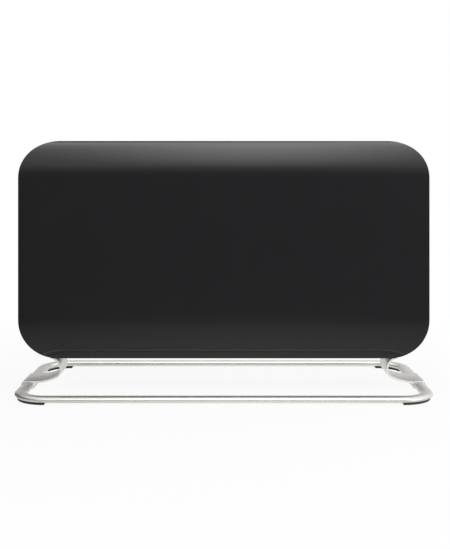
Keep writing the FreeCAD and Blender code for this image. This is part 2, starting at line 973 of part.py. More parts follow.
def terminal_blade(y_back, z):
    """Flat terminal standing out of the back of a switch or thermostat."""
    return box(
        control_x - blade_width / 2,
        control_x + blade_width / 2,
        y_back - blade_length,
        y_back + cut_over,
        z - blade_thickness / 2,
        z + blade_thickness / 2,
    )


def make_thermostat():
    """Thermostat case behind the tray floor, with a threaded bushing that guides the spindle."""
    half = thermostat_side / 2
    back = tray_floor_back - thermostat_depth
    case = slab_y(
        control_x - half,
        control_x + half,
        knob_z - half,
        knob_z + half,
        thermostat_edge_r,
        back,
        tray_floor_back,
    )
    bushing_end = tray_floor_back + bushing_length
    bushing_root = tray_floor_back - thermostat_edge_r
    bushing = rod(V(control_x, bushing_root, knob_z), Y_AXIS, bushing_r, bushing_end - bushing_root)
    blades = [terminal_blade(back, knob_z + s * thermostat_blade_offset) for s in (-1, 1)]
    whole = joined([case, bushing] + blades)
    bore_from = tray_floor_back - spindle_inside - spindle_end_gap
    bore_length = bushing_end - bore_from + cut_over
    bore = rod(V(control_x, bore_from, knob_z), Y_AXIS, spindle_r + fit_clear, bore_length)
    return whole.cut(bore)


def make_thermostat_spindle():
    """Round spindle that joins the thermostat to the knob."""
    start = V(control_x, tray_floor_back - spindle_inside, knob_z)
    length = spindle_inside + tray_floor + spindle_outside
    return rod(start, Y_AXIS, spindle_r, length)


def make_thermostat_knob():
    """Moulded knob: a round skirt with a tapered grip bar across it, resting at the low end of its dial."""
    base = tray_floor_top + knob_lift
    skirt_top = base + knob_skirt
    edge_start = skirt_top - knob_edge
    top = skirt_top + knob_bar_rise
    skirt = rod(V(control_x, base, knob_z), Y_AXIS, knob_r, knob_skirt - knob_edge)
    edge = Part.makeCone(knob_r, knob_r - knob_edge, knob_edge, V(control_x, edge_start, knob_z), Y_AXIS)

    def bar_outline(inset, y):
        half = knob_bar_width / 2 - inset
        reach = knob_r - knob_bar_margin - inset
        return rounded_wire(
            control_x - half,
            control_x + half,
            knob_z - reach,
            knob_z + reach,
            half,
            lambda u, v: V(u, y, v),
        )

    levels = [
        bar_outline(0, edge_start),
        bar_outline(knob_bar_taper, top - knob_edge),
        bar_outline(knob_bar_taper + knob_edge, top),
    ]
    bar = Part.makeLoft(levels, True, True)
    pointer = box(
        control_x - pointer_width / 2,
        control_x + pointer_width / 2,
        top - pointer_depth,
        top + cut_over,
        knob_z - knob_r,
        knob_z - pointer_inner,
    )
    socket_depth = tray_floor_top + spindle_outside + fit_clear - base
    socket = rod(V(control_x, base, knob_z), Y_AXIS, spindle_r + fit_clear, socket_depth)
    knob = without(joined([skirt, edge, bar]), [pointer, socket])
    knob.rotate(V(control_x, base, knob_z), Y_AXIS, -knob_rest_angle)
    return knob


def switch_housing(z):
    """Moulded switch body with a rim on the tray floor and an open pocket for its rocker."""
    body = box(
        control_x - switch_body_width / 2,
        control_x + switch_body_width / 2,
        tray_floor_top - switch_body_depth,
        tray_floor_top + switch_edge_r,
        z - switch_body_height / 2,
        z + switch_body_height / 2,
    )
    rim = slab_y(
        control_x - switch_rim_width / 2,
        control_x + switch_rim_width / 2,
        z - switch_rim_height / 2,
        z + switch_rim_height / 2,
        switch_edge_r,
        tray_floor_top,
        tray_floor_top + switch_rim,
    )
    back = tray_floor_top - switch_body_depth
    blades = [terminal_blade(back, z + s * blade_offset) for s in (-1, 1)]
    pocket = box(
        control_x - pocket_width / 2,
        control_x + pocket_width / 2,
        tray_floor_top + switch_rim - pocket_depth,
        tray_floor_top + switch_rim + cut_over,
        z - pocket_height / 2,
        z + pocket_height / 2,
    )
    pin_half = pocket_width / 2 - rocker_clear + rocker_pin_reach + rocker_clear / 2
    pins = rod(V(control_x - pin_half, rocker_pivot_y, z), X_AXIS, rocker_pin_r + fit_clear, 2 * pin_half)
    return without(joined([body, rim] + blades), [pocket, pins])


def rocker(z):
    """Rocker with a dished top and two pivot stubs, resting with its lower end pressed."""
    half = pocket_width / 2 - rocker_clear
    reach = pocket_height / 2 - rocker_clear
    tip = math.radians(rocker_tip_angle)

    def at(along, out):
        return V(control_x - half, rocker_pivot_y + out, z + along)

    tip_z = reach * math.cos(tip)
    tip_y = reach * math.sin(tip)
    low_z = math.sqrt(reach**2 - rocker_under**2)
    edges = [
        Part.Arc(at(low_z, -rocker_under), at(reach, 0), at(tip_z, tip_y)).toShape(),
        Part.Arc(at(tip_z, tip_y), at(0, rocker_centre_rise), at(-tip_z, tip_y)).toShape(),
        Part.Arc(at(-tip_z, tip_y), at(-reach, 0), at(-low_z, -rocker_under)).toShape(),
        Part.LineSegment(at(-low_z, -rocker_under), at(low_z, -rocker_under)).toShape(),
    ]
    block = Part.Face(Part.Wire(edges)).extrude(V(2 * half, 0, 0))
    pin_half = half + rocker_pin_reach
    pin = rod(V(control_x - pin_half, rocker_pivot_y, z), X_AXIS, rocker_pin_r, 2 * pin_half)
    whole = joined([block, pin])
    whole.rotate(V(control_x, rocker_pivot_y, z), X_AXIS, -rocker_throw / 2)
    return whole


def make_cord_gland():
    """Nylon inlet bush: square flange and neck with snap barbs, bored for a cord."""
    half_flange = gland_flange / 2
    half_neck = gland_neck / 2
    outer = body_rear + gland_flange_thickness
    inner = rear_inner - gland_neck_length
    flange = slab_y(
        control_x - half_flange,
        control_x + half_flange,
        gland_z - half_flange,
        gland_z + half_flange,
        gland_flange_r,
        body_rear,
        outer,
    )
    neck = slab_y(
        control_x - half_neck,
        control_x + half_neck,
        gland_z - half_neck,
        gland_z + half_neck,
        gland_corner_r,
        inner,
        body_rear,
    )
    barb = box(
        control_x - half_neck - gland_barb,
        control_x + half_neck + gland_barb,
        rear_inner - seat_gap - gland_barb_length,
        rear_inner - seat_gap,
        gland_z - half_neck / 2,
        gland_z + half_neck / 2,
    )
    bore = rod(V(control_x, inner, gland_z), Y_AXIS, gland_bore_r, outer - inner)
    mouth = Part.makeCone(
        gland_bore_r,
        gland_bore_r + gland_mouth,
        gland_mouth,
        V(control_x, outer - gland_mouth, gland_z),
        Y_AXIS,
    )
    return without(joined([flange, neck, barb]), [bore, mouth])


def rail_section(grow, start):
    """Flat-oval section about a point, widened by grow all round."""
    half_w = rail_width / 2 + grow
    half_h = rail_height / 2 + grow
    return rounded_wire(
        -half_w,
        half_w,
        -half_h,
        half_h,
        rail_edge_r + grow,
        lambda u, v: start + X_AXIS * u + Z_AXIS * v,
    )


def rail_bore(start):
    """Plain rectangular bore of the rail tube about a point."""
    half_w = rail_width / 2 - rail_wall
    half_h = rail_height / 2 - rail_wall
    corners = [(-half_w, -half_h), (half_w, -half_h), (half_w, half_h), (-half_w, half_h), (-half_w, -half_h)]
    return Part.makePolygon([start + X_AXIS * u + Z_AXIS * v for u, v in corners])


def front_rail_path():
    """Middle line of the front rail, from the left sleeve round to the right sleeve."""
    end_y = bracket_mid_y - rail_end_gap / 2
    bend_x = rail_x - rail_bend_r
    bend_y = -rail_y + rail_bend_r
    nip = rail_bend_r * math.sqrt(0.5)
    z = rail_z
    edges = [
        Part.LineSegment(V(-rail_x, end_y, z), V(-rail_x, bend_y, z)).toShape(),
        Part.Arc(V(-rail_x, bend_y, z), V(-bend_x - nip, bend_y - nip, z), V(-bend_x, -rail_y, z)).toShape(),
        Part.LineSegment(V(-bend_x, -rail_y, z), V(bend_x, -rail_y, z)).toShape(),
        Part.Arc(V(bend_x, -rail_y, z), V(bend_x + nip, bend_y - nip, z), V(rail_x, bend_y, z)).toShape(),
        Part.LineSegment(V(rail_x, bend_y, z), V(rail_x, end_y, z)).toShape(),
    ]
    return Part.Wire(edges), V(-rail_x, end_y, z)


def rear_rail_path():
    """Middle line of the rear rail, from the left sleeve round to the right sleeve."""
    end_y = bracket_mid_y + rail_end_gap / 2
    bend_x = rail_x - rail_bend_r
    bend_y = rail_y - rail_bend_r
    nip = rail_bend_r * math.sqrt(0.5)
    z = rail_z
    edges = [
        Part.LineSegment(V(-rail_x, end_y, z), V(-rail_x, bend_y, z)).toShape(),
        Part.Arc(V(-rail_x, bend_y, z), V(-bend_x - nip, bend_y + nip, z), V(-bend_x, rail_y, z)).toShape(),
        Part.LineSegment(V(-bend_x, rail_y, z), V(bend_x, rail_y, z)).toShape(),
        Part.Arc(V(bend_x, rail_y, z), V(bend_x + nip, bend_y + nip, z), V(rail_x, bend_y, z)).toShape(),
        Part.LineSegment(V(rail_x, bend_y, z), V(rail_x, end_y, z)).toShape(),
    ]
    return Part.Wire(edges), V(-rail_x, end_y, z)


def rail_screw_places(side):
    """Where the rails are screwed in their sleeves from below: side -1 is the front rail, 1 the rear."""
    y = bracket_mid_y + side * rail_screw_offset
    return [(-rail_x, y), (rail_x, y)]


def bent_rail(path, start, side):
    """U-shaped flat-oval tube along a path, drilled for its two screws."""
    outer = path.makePipeShell([rail_section(0, start)], True, False)
    bore = path.makePipeShell([rail_bore(start)], True, False)
    holes = []
    for x, y in rail_screw_places(side):
        holes.append(rod(V(x, y, 0), Z_AXIS, rail_screw_r + screw_clear, rail_z))
    return without(outer.cut(bore), holes)


def make_front_rail():
    """Front half of the stand."""
    path, start = front_rail_path()
    return bent_rail(path, start, -1)


def make_rear_rail():
    """Rear half of the stand."""
    path, start = rear_rail_path()
    return bent_rail(path, start, 1)


def make_corner_pad():
    """Rubber pad under the front left corner: a square-ended strip that follows the rail's bend."""
    centre = V(-rail_x + rail_bend_r, -rail_y + rail_bend_r, 0)
    wedge_outer = Part.makeCylinder(rail_bend_r + pad_width / 2, pad_height, centre, Z_AXIS, pad_sweep)
    wedge_inner = Part.makeCylinder(rail_bend_r - pad_width / 2, pad_height, centre, Z_AXIS, pad_sweep)
    strip = wedge_outer.cut(wedge_inner)
    strip.rotate(centre, Z_AXIS, 270 - pad_sweep)
    return strip


def make_front_left_pad():
    """Rubber pad under the front left corner."""
    return make_corner_pad()


def make_front_right_pad():
    """Rubber pad under the front right corner."""
    return mirrored(make_corner_pad())


def make_rear_left_pad():
    """Rubber pad under the rear left corner."""
    return make_corner_pad().mirror(V(0, 0, 0), Y_AXIS)


def make_rear_right_pad():
    """Rubber pad under the rear right corner."""
    return mirrored(make_rear_left_pad())


def casing_underside(x):
    """Height of the casing's lower outline at a distance x from the middle."""
    beyond = max(0.0, x - (half_width - corner_r))
    rise = corner_r - math.sqrt(corner_r**2 - beyond**2)
    return body_bottom + max(0.0, rise - outline_ease)


def curl_section(y):
    """Outline of the left bracket's plate: a flat leaf, a long lead, a tight hook and a head that leans out."""

    def at(middle, radius, degrees):
        turn = math.radians(degrees)
        return V(middle.x + radius * math.cos(turn), y, middle.z + radius * math.sin(turn))

    lead_at = V(-curl_start_x, y, leaf_mid + curl_lead_r)
    hook_at = V(-curl_hook_x, y, curl_hook_z)
    head_at = V(-curl_head_x, y, curl_hook_z)
    bends = [
        (lead_at, curl_lead_r, -90, curl_lead_angle - 90),
        (hook_at, curl_hook_r, curl_lead_angle - 90, 0),
        (head_at, curl_head_r, 0, curl_head_angle + curl_over),
    ]
    under = []
    over = []
    for middle, radius, start, end in bends:
        for run, side in ((under, 1), (over, -1)):
            r = radius + side * curl_plate / 2
            points = [at(middle, r, a) for a in (start, (start + end) / 2, end)]
            run.append(Part.Arc(*points).toShape())
    leaf_edges = (V(-rail_x, y, leaf_top - curl_plate), V(-rail_x, y, leaf_top))
    corners = [
        (leaf_edges[0], under[0].Vertexes[0].Point),
        (under[-1].Vertexes[-1].Point, over[-1].Vertexes[-1].Point),
        (over[0].Vertexes[0].Point, leaf_edges[1]),
        (leaf_edges[1], leaf_edges[0]),
    ]
    lines = [Part.LineSegment(a, b).toShape() for a, b in corners]
    return Part.Wire(Part.sortEdges(under + over + lines)[0])


def make_left_foot_bracket():
    """Extruded foot: a sleeve for the rail ends, a leaf that curls up, and a tab bolted inside the casing."""
    y0 = bracket_mid_y - bracket_length / 2
    y1 = bracket_mid_y + bracket_length / 2
    mid = V(-rail_x, y0, rail_z)
    sleeve = Part.Face(rail_section(sleeve_grow, mid)).extrude(V(0, bracket_length, 0))
    hollow = Part.Face(rail_section(sleeve_clear, mid)).extrude(V(0, bracket_length, 0))
    shoulder = casing_underside(tab_outset - tab_thickness) - seat_gap
    curl = Part.Face(curl_section(y0)).extrude(V(0, bracket_length, 0))
    curl = curl.common(box(-rail_x, 0, y0, y1, 0, shoulder))
    tab = box(
        -tab_outset,
        -tab_outset + tab_thickness,
        tab_mid_y - tab_length / 2,
        tab_mid_y + tab_length / 2,
        shoulder - tab_root,
        body_bottom + tab_height,
    )
    tab_corners = [
        e for e in tab.Edges
        if abs(e.CenterOfMass.z - tab.BoundBox.ZMax) < 1e-6 and abs(e.Length - tab_thickness) < 1e-6
    ]
    tab = tab.makeFillet(tab_corner_r, tab_corners)
    cuts = [hollow]
    for y, z in bolt_places():
        cuts.append(rod(V(-tab_outset, y, z), X_AXIS, bolt_r + screw_clear, tab_thickness))
    for side in (-1, 1):
        x, y = rail_screw_places(side)[0]
        cuts.append(rod(V(x, y, 0), Z_AXIS, rail_screw_r + screw_clear, rail_z))
    return without(joined([sleeve, curl, tab]), cuts)


def make_right_foot_bracket():
    """The same foot on the right."""
    return mirrored(make_left_foot_bracket())


def make_bracket_bolts():
    """Bolts from the tab outward through the end frame, two on each side."""
    bolts = []
    inner = -tab_outset + tab_thickness
    tip = -frame_outer_x - nut_height - bolt_tip
    for y, z in bolt_places():
        shank = rod(V(tip, y, z), X_AXIS, bolt_r, inner - tip)
        head = rod(V(inner, y, z), X_AXIS, bolt_head_r, bolt_head)
        rim = [e for e in head.Edges if e.CenterOfMass.x > inner + bolt_head - 1e-6]
        head = head.makeChamfer(bolt_chamfer, rim)
        bolts.extend(sides(joined([shank, head])))
    return bolts


def make_bracket_nuts():
    """Hexagon nuts on the bracket bolts."""
    nuts = []
    corner = nut_across / math.sqrt(3)
    left = -frame_outer_x - nut_height
    for y, z in bolt_places():
        points = []
        for i in range(7):
            angle = math.radians(60 * i)
            points.append(V(left, y + corner * math.cos(angle), z + corner * math.sin(angle)))
        nut = Part.Face(Part.makePolygon(points)).extrude(V(nut_height, 0, 0))
        nut = nut.cut(rod(V(left, y, z), X_AXIS, bolt_r + fit_clear, nut_height))
        nuts.extend(sides(nut))
    return nuts


def screw(place, axis, radius, reach, head_r, head):
    """Screw with a low tapered head; place is under the head and axis points out of the work."""
    shank = rod(place - axis * reach, axis, radius, reach)
    cap = Part.makeCone(head_r, head_r - head * screw_head_slope, head, place, axis)
    return joined([shank, cap])


def make_rear_panel_screws():
    """Screws that hold the rear panel to the end frames and the partition."""
    return [
        screw(
            V(x, body_rear, z),
            Y_AXIS,
            panel_screw_r,
            panel_screw_reach,
            panel_screw_head_r,
            panel_screw_head,
        )
        for x, z in panel_screw_places()
    ]


def make_control_panel_screws():
    """Small screws in the control panel's rim."""
    return [
        screw(
            V(x, body_rear + tray_rim_thickness, z),
            Y_AXIS,
            control_screw_r,
            control_screw_reach,
            control_screw_head_r,
            control_screw_head,
        )
        for x, z in control_screw_places()
    ]


def make_inlet_grille_screws():
    """Screws that hold the inlet grille up against the underside."""
    return [
        screw(
            V(x, y, body_bottom),
            V(0, 0, -1),
            grille_screw_r,
            grille_screw_reach,
            grille_screw_head_r,
            grille_screw_head,
        )
        for x, y in inlet_screw_places()
    ]


def make_rail_screws():
    """Screws from below that hold the rail ends in their sleeves."""
    under = rail_z - rail_height / 2 - sleeve_grow
    return [
        screw(
            V(x, y, under),
            V(0, 0, -1),
            rail_screw_r,
            rail_screw_reach,
            rail_screw_head_r,
            rail_screw_head,
        )
        for side in (-1, 1)
        for x, y in rail_screw_places(side)
    ]


def lead(points):
    """Insulated wire through corner points, with an arc of one radius at each corner."""
    edges = []
    at = points[0]
    for corner, following in zip(points[1:-1], points[2:]):
        before = (at - corner).normalize()
        after = (following - corner).normalize()
        arc_from = corner + before * wire_bend_r
        arc_to = corner + after * wire_bend_r
        centre = corner + (before + after) * wire_bend_r
        inward = (corner - centre).normalize()
        edges.append(Part.LineSegment(at, arc_from).toShape())
        edges.append(Part.Arc(arc_from, centre + inward * wire_bend_r, arc_to).toShape())
        at = arc_to
    edges.append(Part.LineSegment(at, points[-1]).toShape())
    path = Part.Wire(edges)
    start_way = (points[1] - points[0]).normalize()
    across = V(start_way.y, start_way.z, start_way.x)
    up = start_way.cross(across)
    section = []
    for i in range(wire_sides + 1):
        turn = 2 * math.pi * i / wire_sides
        section.append(points[0] + across * (wire_r * math.cos(turn)) + up * (wire_r * math.sin(turn)))
    return path.makePipeShell([Part.makePolygon(section)], True, False)


def make_wiring():
    """Leads between the terminal block, switches, thermostat, tilt switch, cut-out and element."""
    block_face = rear_inner - block_depth
    block_mid = block_bottom + block_height / 2
    tilt_top = tilt_bottom + tilt_height
    tilt_x = partition_right + tilt_width / 2
    left, right = rod_ends()
    pin_left = left - pin_length
    pin_right = right + pin_length
    low_a = lower_switch_z - blade_offset
    low_b = lower_switch_z + blade_offset
    high_a = upper_switch_z - blade_offset
    high_b = upper_switch_z + blade_offset
    stat_a = knob_z - thermostat_blade_offset
    stat_b = knob_z + thermostat_blade_offset
    x = control_x
    way = block_width / 3
    duct_y = cutout_blade_y
    drop_x = pin_left - wire_end_run
    turn_z = tilt_top + wire_turn_rise
    blade_reach = cutout_r + cutout_blade
    live = [
        V(x, block_face, block_mid),
        V(x, wire_back_y, block_mid),
        V(x, wire_back_y, low_a),
        V(x, switch_tip, low_a),
    ]
    between = [
        V(x, switch_tip, low_b),
        V(x, wire_back_y, low_b),
        V(x, wire_back_y, high_a),
        V(x, switch_tip, high_a),
    ]
    to_thermostat = [
        V(x, switch_tip, high_b),
        V(x, wire_back_y, high_b),
        V(x, wire_back_y, stat_a),
        V(x, thermostat_tip, stat_a),
    ]
    to_tilt = [
        V(x, thermostat_tip, stat_b),
        V(x, wire_front_y, stat_b),
        V(x, wire_front_y, turn_z),
        V(tilt_x - wire_bend_r, wire_front_y, turn_z),
        V(tilt_x - wire_bend_r, wire_front_y, tilt_top),
    ]
    to_cutout = [
        V(tilt_x + wire_bend_r, duct_y, tilt_top),
        V(tilt_x + wire_bend_r, duct_y, cutout_z),
        V(cutout_x + blade_reach, duct_y, cutout_z),
    ]
    to_element = [
        V(cutout_x - blade_reach, duct_y, cutout_z),
        V(drop_x, duct_y, cutout_z),
        V(drop_x, duct_y, element_z),
        V(drop_x, element_y, element_z),
        V(pin_left, element_y, element_z),
    ]
    neutral = [
        V(pin_right, element_y, element_z),
        V(x - way, element_y, element_z),
        V(x - way, block_face, element_z),
    ]
    earth = [
        V(x + way, block_face, block_mid),
        V(x + way, element_y, block_mid),
        V(frame_inner_x, element_y, block_mid),
    ]
    routes = [live, between, to_thermostat, to_tilt, to_cutout, to_element, neutral, earth]
    return [lead(route) for route in routes]


def write(name, shape):
    """One node of the assembly: a solid, or a group of like solids."""
    if isinstance(shape, list):
        shape = Part.makeCompound(shape)
    elif len(shape.Solids) == 1:
        shape = shape.Solids[0]
    shape.exportStep(os.path.join("parts", name + ".step"))


os.makedirs("parts", exist_ok=True)
write("front_panel", make_front_panel())
write("rear_panel", make_rear_panel())
write("outlet_grille", make_outlet_grille())
write("inlet_grille", make_inlet_grille())
write("left_end_frame", make_left_end_frame())
write("right_end_frame", make_right_end_frame())
write("control_partition", make_control_partition())
write("air_baffle", make_air_baffle())
write("element_fins", make_element_fins())
write("element_rod", make_element_rod())
write("left_element_bush", make_left_element_bush())
write("right_element_bush", make_right_element_bush())
write("thermal_cutout", make_thermal_cutout())
write("tilt_switch", make_tilt_switch())
write("terminal_block", make_terminal_block())
write("control_panel", make_control_panel())
write("thermostat", make_thermostat())
write("thermostat_spindle", make_thermostat_spindle())
write("thermostat_knob", make_thermostat_knob())
write("lower_switch_housing", switch_housing(lower_switch_z))
write("upper_switch_housing", switch_housing(upper_switch_z))
write("lower_rocker", rocker(lower_switch_z))
write("upper_rocker", rocker(upper_switch_z))
write("cord_gland", make_cord_gland())
write("front_rail", make_front_rail())
write("rear_rail", make_rear_rail())
write("left_foot_bracket", make_left_foot_bracket())
write("right_foot_bracket", make_right_foot_bracket())
write("front_left_pad", make_front_left_pad())
write("front_right_pad", make_front_right_pad())
write("rear_left_pad", make_rear_left_pad())
write("rear_right_pad", make_rear_right_pad())
write("bracket_bolts", make_bracket_bolts())
write("bracket_nuts", make_bracket_nuts())
write("rear_panel_screws", make_rear_panel_screws())
write("control_panel_screws", make_control_panel_screws())
write("inlet_grille_screws", make_inlet_grille_screws())
write("rail_screws", make_rail_screws())
write("wiring", make_wiring())
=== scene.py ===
"""Convector heater on a rail stand: the finished look of every piece, in metres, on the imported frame."""

from math import acos, asin, atan2, cos, degrees, pi, radians, sin, sqrt

import bmesh
import bpy
from mathutils import Matrix, Vector


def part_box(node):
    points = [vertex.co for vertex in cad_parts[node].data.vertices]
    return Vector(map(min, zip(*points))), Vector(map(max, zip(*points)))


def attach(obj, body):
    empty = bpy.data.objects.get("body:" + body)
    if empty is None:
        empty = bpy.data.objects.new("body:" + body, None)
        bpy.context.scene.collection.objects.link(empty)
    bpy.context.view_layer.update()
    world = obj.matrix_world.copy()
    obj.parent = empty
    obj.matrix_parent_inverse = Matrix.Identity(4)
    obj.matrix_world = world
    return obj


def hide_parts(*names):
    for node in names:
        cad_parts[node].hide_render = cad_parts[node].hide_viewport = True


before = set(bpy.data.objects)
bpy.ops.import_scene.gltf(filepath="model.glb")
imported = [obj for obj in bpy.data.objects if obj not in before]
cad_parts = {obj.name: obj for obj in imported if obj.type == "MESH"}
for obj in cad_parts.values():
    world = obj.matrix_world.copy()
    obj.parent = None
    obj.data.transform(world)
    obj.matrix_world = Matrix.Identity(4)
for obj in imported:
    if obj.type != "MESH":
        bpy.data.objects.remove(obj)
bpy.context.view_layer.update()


# Stand rails: two U-shaped lengths of oval aluminium tube, bent round at the corners and satin anodised.
# Their ends push into the sleeves of the foot brackets, so that together they make one closed loop.
rail_width = 0.020
rail_bend_r = 0.044
tube_bend_steps = 32
tube_round_steps = 48
satin_colour = (0.815, 0.802, 0.762)
rail_low, rail_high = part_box("front_rail")
rear_low, rear_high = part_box("rear_rail")
rail_height = rail_high.z - rail_low.z
rail_x = rail_high.x - rail_width / 2
rail_z = (rail_low.z + rail_high.z) / 2
rail_front_y = rail_low.y + rail_width / 2
rail_rear_y = rear_high.y - rail_width / 2


def add(tree, kind, inputs, **settings):
    """A new node in a tree: its settings first, then its inputs, each linked or given a value."""
    node = tree.nodes.new(kind)
    for label, value in settings.items():
        setattr(node, label, value)
    for label, value in inputs.items():
        if isinstance(value, bpy.types.NodeSocket):
            tree.links.new(value, node.inputs[label])
        else:
            node.inputs[label].default_value = value
    return node


def finish(
    name, colour, rough, metallic=0.0, grain=900.0, shade=0.08, spread=0.05, relief=0.000004, cells=False
):
    """Finish whose colour, gloss and relief drift with a fine grain, or in the flat cells of a metal coat."""
    coarser = 40.0
    material = bpy.data.materials.new(name)
    material.use_nodes = True
    tree = material.node_tree
    shader = tree.nodes["Principled BSDF"]
    shader.inputs["Metallic"].default_value = metallic
    place = add(tree, "ShaderNodeTexCoord", {}).outputs["Object"]
    fine = add(tree, "ShaderNodeTexNoise", {"Vector": place, "Scale": grain, "Detail": 3.0}).outputs["Fac"]
    pattern = "ShaderNodeTexVoronoi" if cells else "ShaderNodeTexNoise"
    broad = add(tree, pattern, {"Vector": place, "Scale": grain / coarser})
    tint = add(tree, "ShaderNodeValToRGB", {"Fac": broad.outputs["Color"]})
    dark, light = tint.color_ramp.elements
    dark.position = 0.3
    dark.color = [c * (1 - shade) for c in colour] + [1.0]
    light.position = 0.7
    light.color = [min(1.0, c * (1 + shade)) for c in colour] + [1.0]
    levels = {"Value": fine, "To Min": rough - spread, "To Max": rough + spread}
    gloss = add(tree, "ShaderNodeMapRange", levels)
    bump = add(tree, "ShaderNodeBump", {"Height": fine, "Distance": relief})
    tree.links.new(tint.outputs["Color"], shader.inputs["Base Color"])
    tree.links.new(gloss.outputs["Result"], shader.inputs["Roughness"])
    tree.links.new(bump.outputs["Normal"], shader.inputs["Normal"])
    return material


def linked(data, name):
    """A new object with this data, in the scene."""
    obj = bpy.data.objects.new(name, data)
    bpy.context.scene.collection.objects.link(obj)
    return obj


def shaded(mesh, sharp):
    """Smooth shading, broken where faces meet at more than an angle."""
    mesh.shade_smooth()
    mesh.set_sharp_from_angle(angle=radians(sharp))


def evaluated(obj):
    """The plain mesh that an object's modifiers give."""
    graph = bpy.context.evaluated_depsgraph_get()
    return bpy.data.meshes.new_from_object(obj.evaluated_get(graph), depsgraph=graph)


def settled(obj, name, sharp=35.0):
    """The finished shape of an object as one plain mesh at the origin, with its modifiers gone."""
    mesh = evaluated(obj)
    mesh.transform(obj.matrix_world)
    mesh.name = name
    bpy.data.objects.remove(obj)
    shaded(mesh, sharp)
    return linked(mesh, name)


def node_tree(name, *sizes):
    """A new geometry tree that takes a shape, named sizes and a finish, and what its first node gives."""
    tree = bpy.data.node_groups.new(name, "GeometryNodeTree")
    tree.interface.new_socket(name="Geometry", in_out="OUTPUT", socket_type="NodeSocketGeometry")
    for label, kind in (("Geometry", "Geometry"), *sizes, ("Finish", "Material")):
        tree.interface.new_socket(name=label, in_out="INPUT", socket_type="NodeSocket" + kind)
    return tree, tree.nodes.new("NodeGroupInput").outputs


def grow(obj, tree, **values):
    """Puts a geometry tree on an object and sets the tree's named inputs."""
    modifier = obj.modifiers.new(tree.name, "NODES")
    modifier.node_group = tree
    for item in tree.interface.items_tree:
        if item.in_out == "INPUT" and item.name in values:
            modifier[item.identifier] = values[item.name]


def close_tree(tree, geometry, given):
    """Ends a tree: instances made real, then the finish."""
    real = add(tree, "GeometryNodeRealizeInstances", {"Geometry": geometry})
    bare = {"Geometry": real.outputs["Geometry"], "Material": given["Finish"]}
    coat = add(tree, "GeometryNodeSetMaterial", bare)
    add(tree, "NodeGroupOutput", {"Geometry": coat.outputs["Geometry"]})
    return tree


def bent_tube_tree():
    """Oval tube along a path of straight runs, with every corner of the path bent to one radius."""
    tree, given = node_tree("bent_tube", ("Width", "Float"), ("Height", "Float"), ("Bend_Radius", "Float"))
    path = {"Curve": given["Geometry"], "Radius": given["Bend_Radius"], "Count": tube_bend_steps}
    bend = add(tree, "GeometryNodeFilletCurve", path, mode="POLY")
    upright = add(tree, "GeometryNodeSetCurveNormal", {"Curve": bend.outputs["Curve"]}, mode="Z_UP")
    round_bar = add(tree, "GeometryNodeCurvePrimitiveCircle", {"Resolution": tube_round_steps, "Radius": 0.5})
    spread = add(tree, "ShaderNodeCombineXYZ", {"X": given["Width"], "Y": given["Height"]})
    pressed = {"Geometry": round_bar.outputs["Curve"], "Scale": spread.outputs["Vector"]}
    oval = add(tree, "GeometryNodeTransform", pressed)
    run = {"Curve": upright.outputs["Curve"], "Profile Curve": oval.outputs["Geometry"], "Fill Caps": True}
    sweep = add(tree, "GeometryNodeCurveToMesh", run)
    return close_tree(tree, sweep.outputs["Mesh"], given)


satin_aluminium = finish("satin_aluminium", satin_colour, 0.44, metallic=1.0, grain=2600.0, shade=0.03)
tube_tree = bent_tube_tree()
for node, end_y, far_y in (
    ("front_rail", rail_high.y, rail_front_y),
    ("rear_rail", rear_low.y, rail_rear_y),
):
    path = bpy.data.curves.new(node + "_path", "CURVE")
    path.dimensions = "3D"
    spline = path.splines.new("POLY")
    corners = [(-rail_x, end_y), (-rail_x, far_y), (rail_x, far_y), (rail_x, end_y)]
    spline.points.add(len(corners) - 1)
    for point, (x, y) in zip(spline.points, corners):
        point.co = (x, y, rail_z, 1.0)
    tube = linked(path, node + "_tube")
    grow(
        tube,
        tube_tree,
        Width=rail_width,
        Height=rail_height,
        Bend_Radius=rail_bend_r,
        Finish=satin_aluminium,
    )
    tube = settled(tube, node + "_tube")
    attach(tube, "heater")
    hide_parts(node)


# Foot brackets: one aluminium extrusion on each side, sawn to length and satin anodised like the rails.
# A sleeve holds the two rail ends. A leaf sweeps inward, hooks up to the casing and ends in a tab inside it.
sleeve_grow = 0.0012
sleeve_clear = 0.00004
sleeve_r = 0.0052
bore_steps = 48
leaf_flat = 0.0085
leaf_start = -88.5
curl_plate = 0.003
curl_lead_r = 0.085
curl_lead_angle = 25.0
curl_hook_r = 0.013
curl_head_r = 0.0212
lead_steps = 14
curl_steps = 18
corner_steps = 8
meet_steps = 3
tab_corner_steps = 2
shoulder_gap = 0.0001
tab_thickness = 0.0035
tab_length = 0.0375
tab_forward = 0.00575
tab_root = 0.001
tab_corner_r = 0.0005
bracket_edge = 0.0003
sawn_facing = 0.95
sawn_colour = (0.97, 0.97, 0.97)
weld = 0.000001


def arc(u, v, radius, start, end, steps):
    """Points on a circle between two angles in degrees."""
    angles = [radians(start + (end - start) * i / steps) for i in range(steps + 1)]
    return [(u + radius * cos(a), v + radius * sin(a)) for a in angles]


def rounded_loop(u, v, half_u, half_v, radius, steps):
    """Rounded rectangle about a point."""
    loop = []
    for su, sv, start in ((1, 1, 0), (-1, 1, 90), (-1, -1, 180), (1, -1, 270)):
        corner = (u + su * (half_u - radius), v + sv * (half_v - radius))
        loop += arc(*corner, radius, start, start + 90, steps)
    return loop


def coated(obj, coat):
    """One finish over the whole of a piece."""
    obj.data.materials.clear()
    obj.data.materials.append(coat)


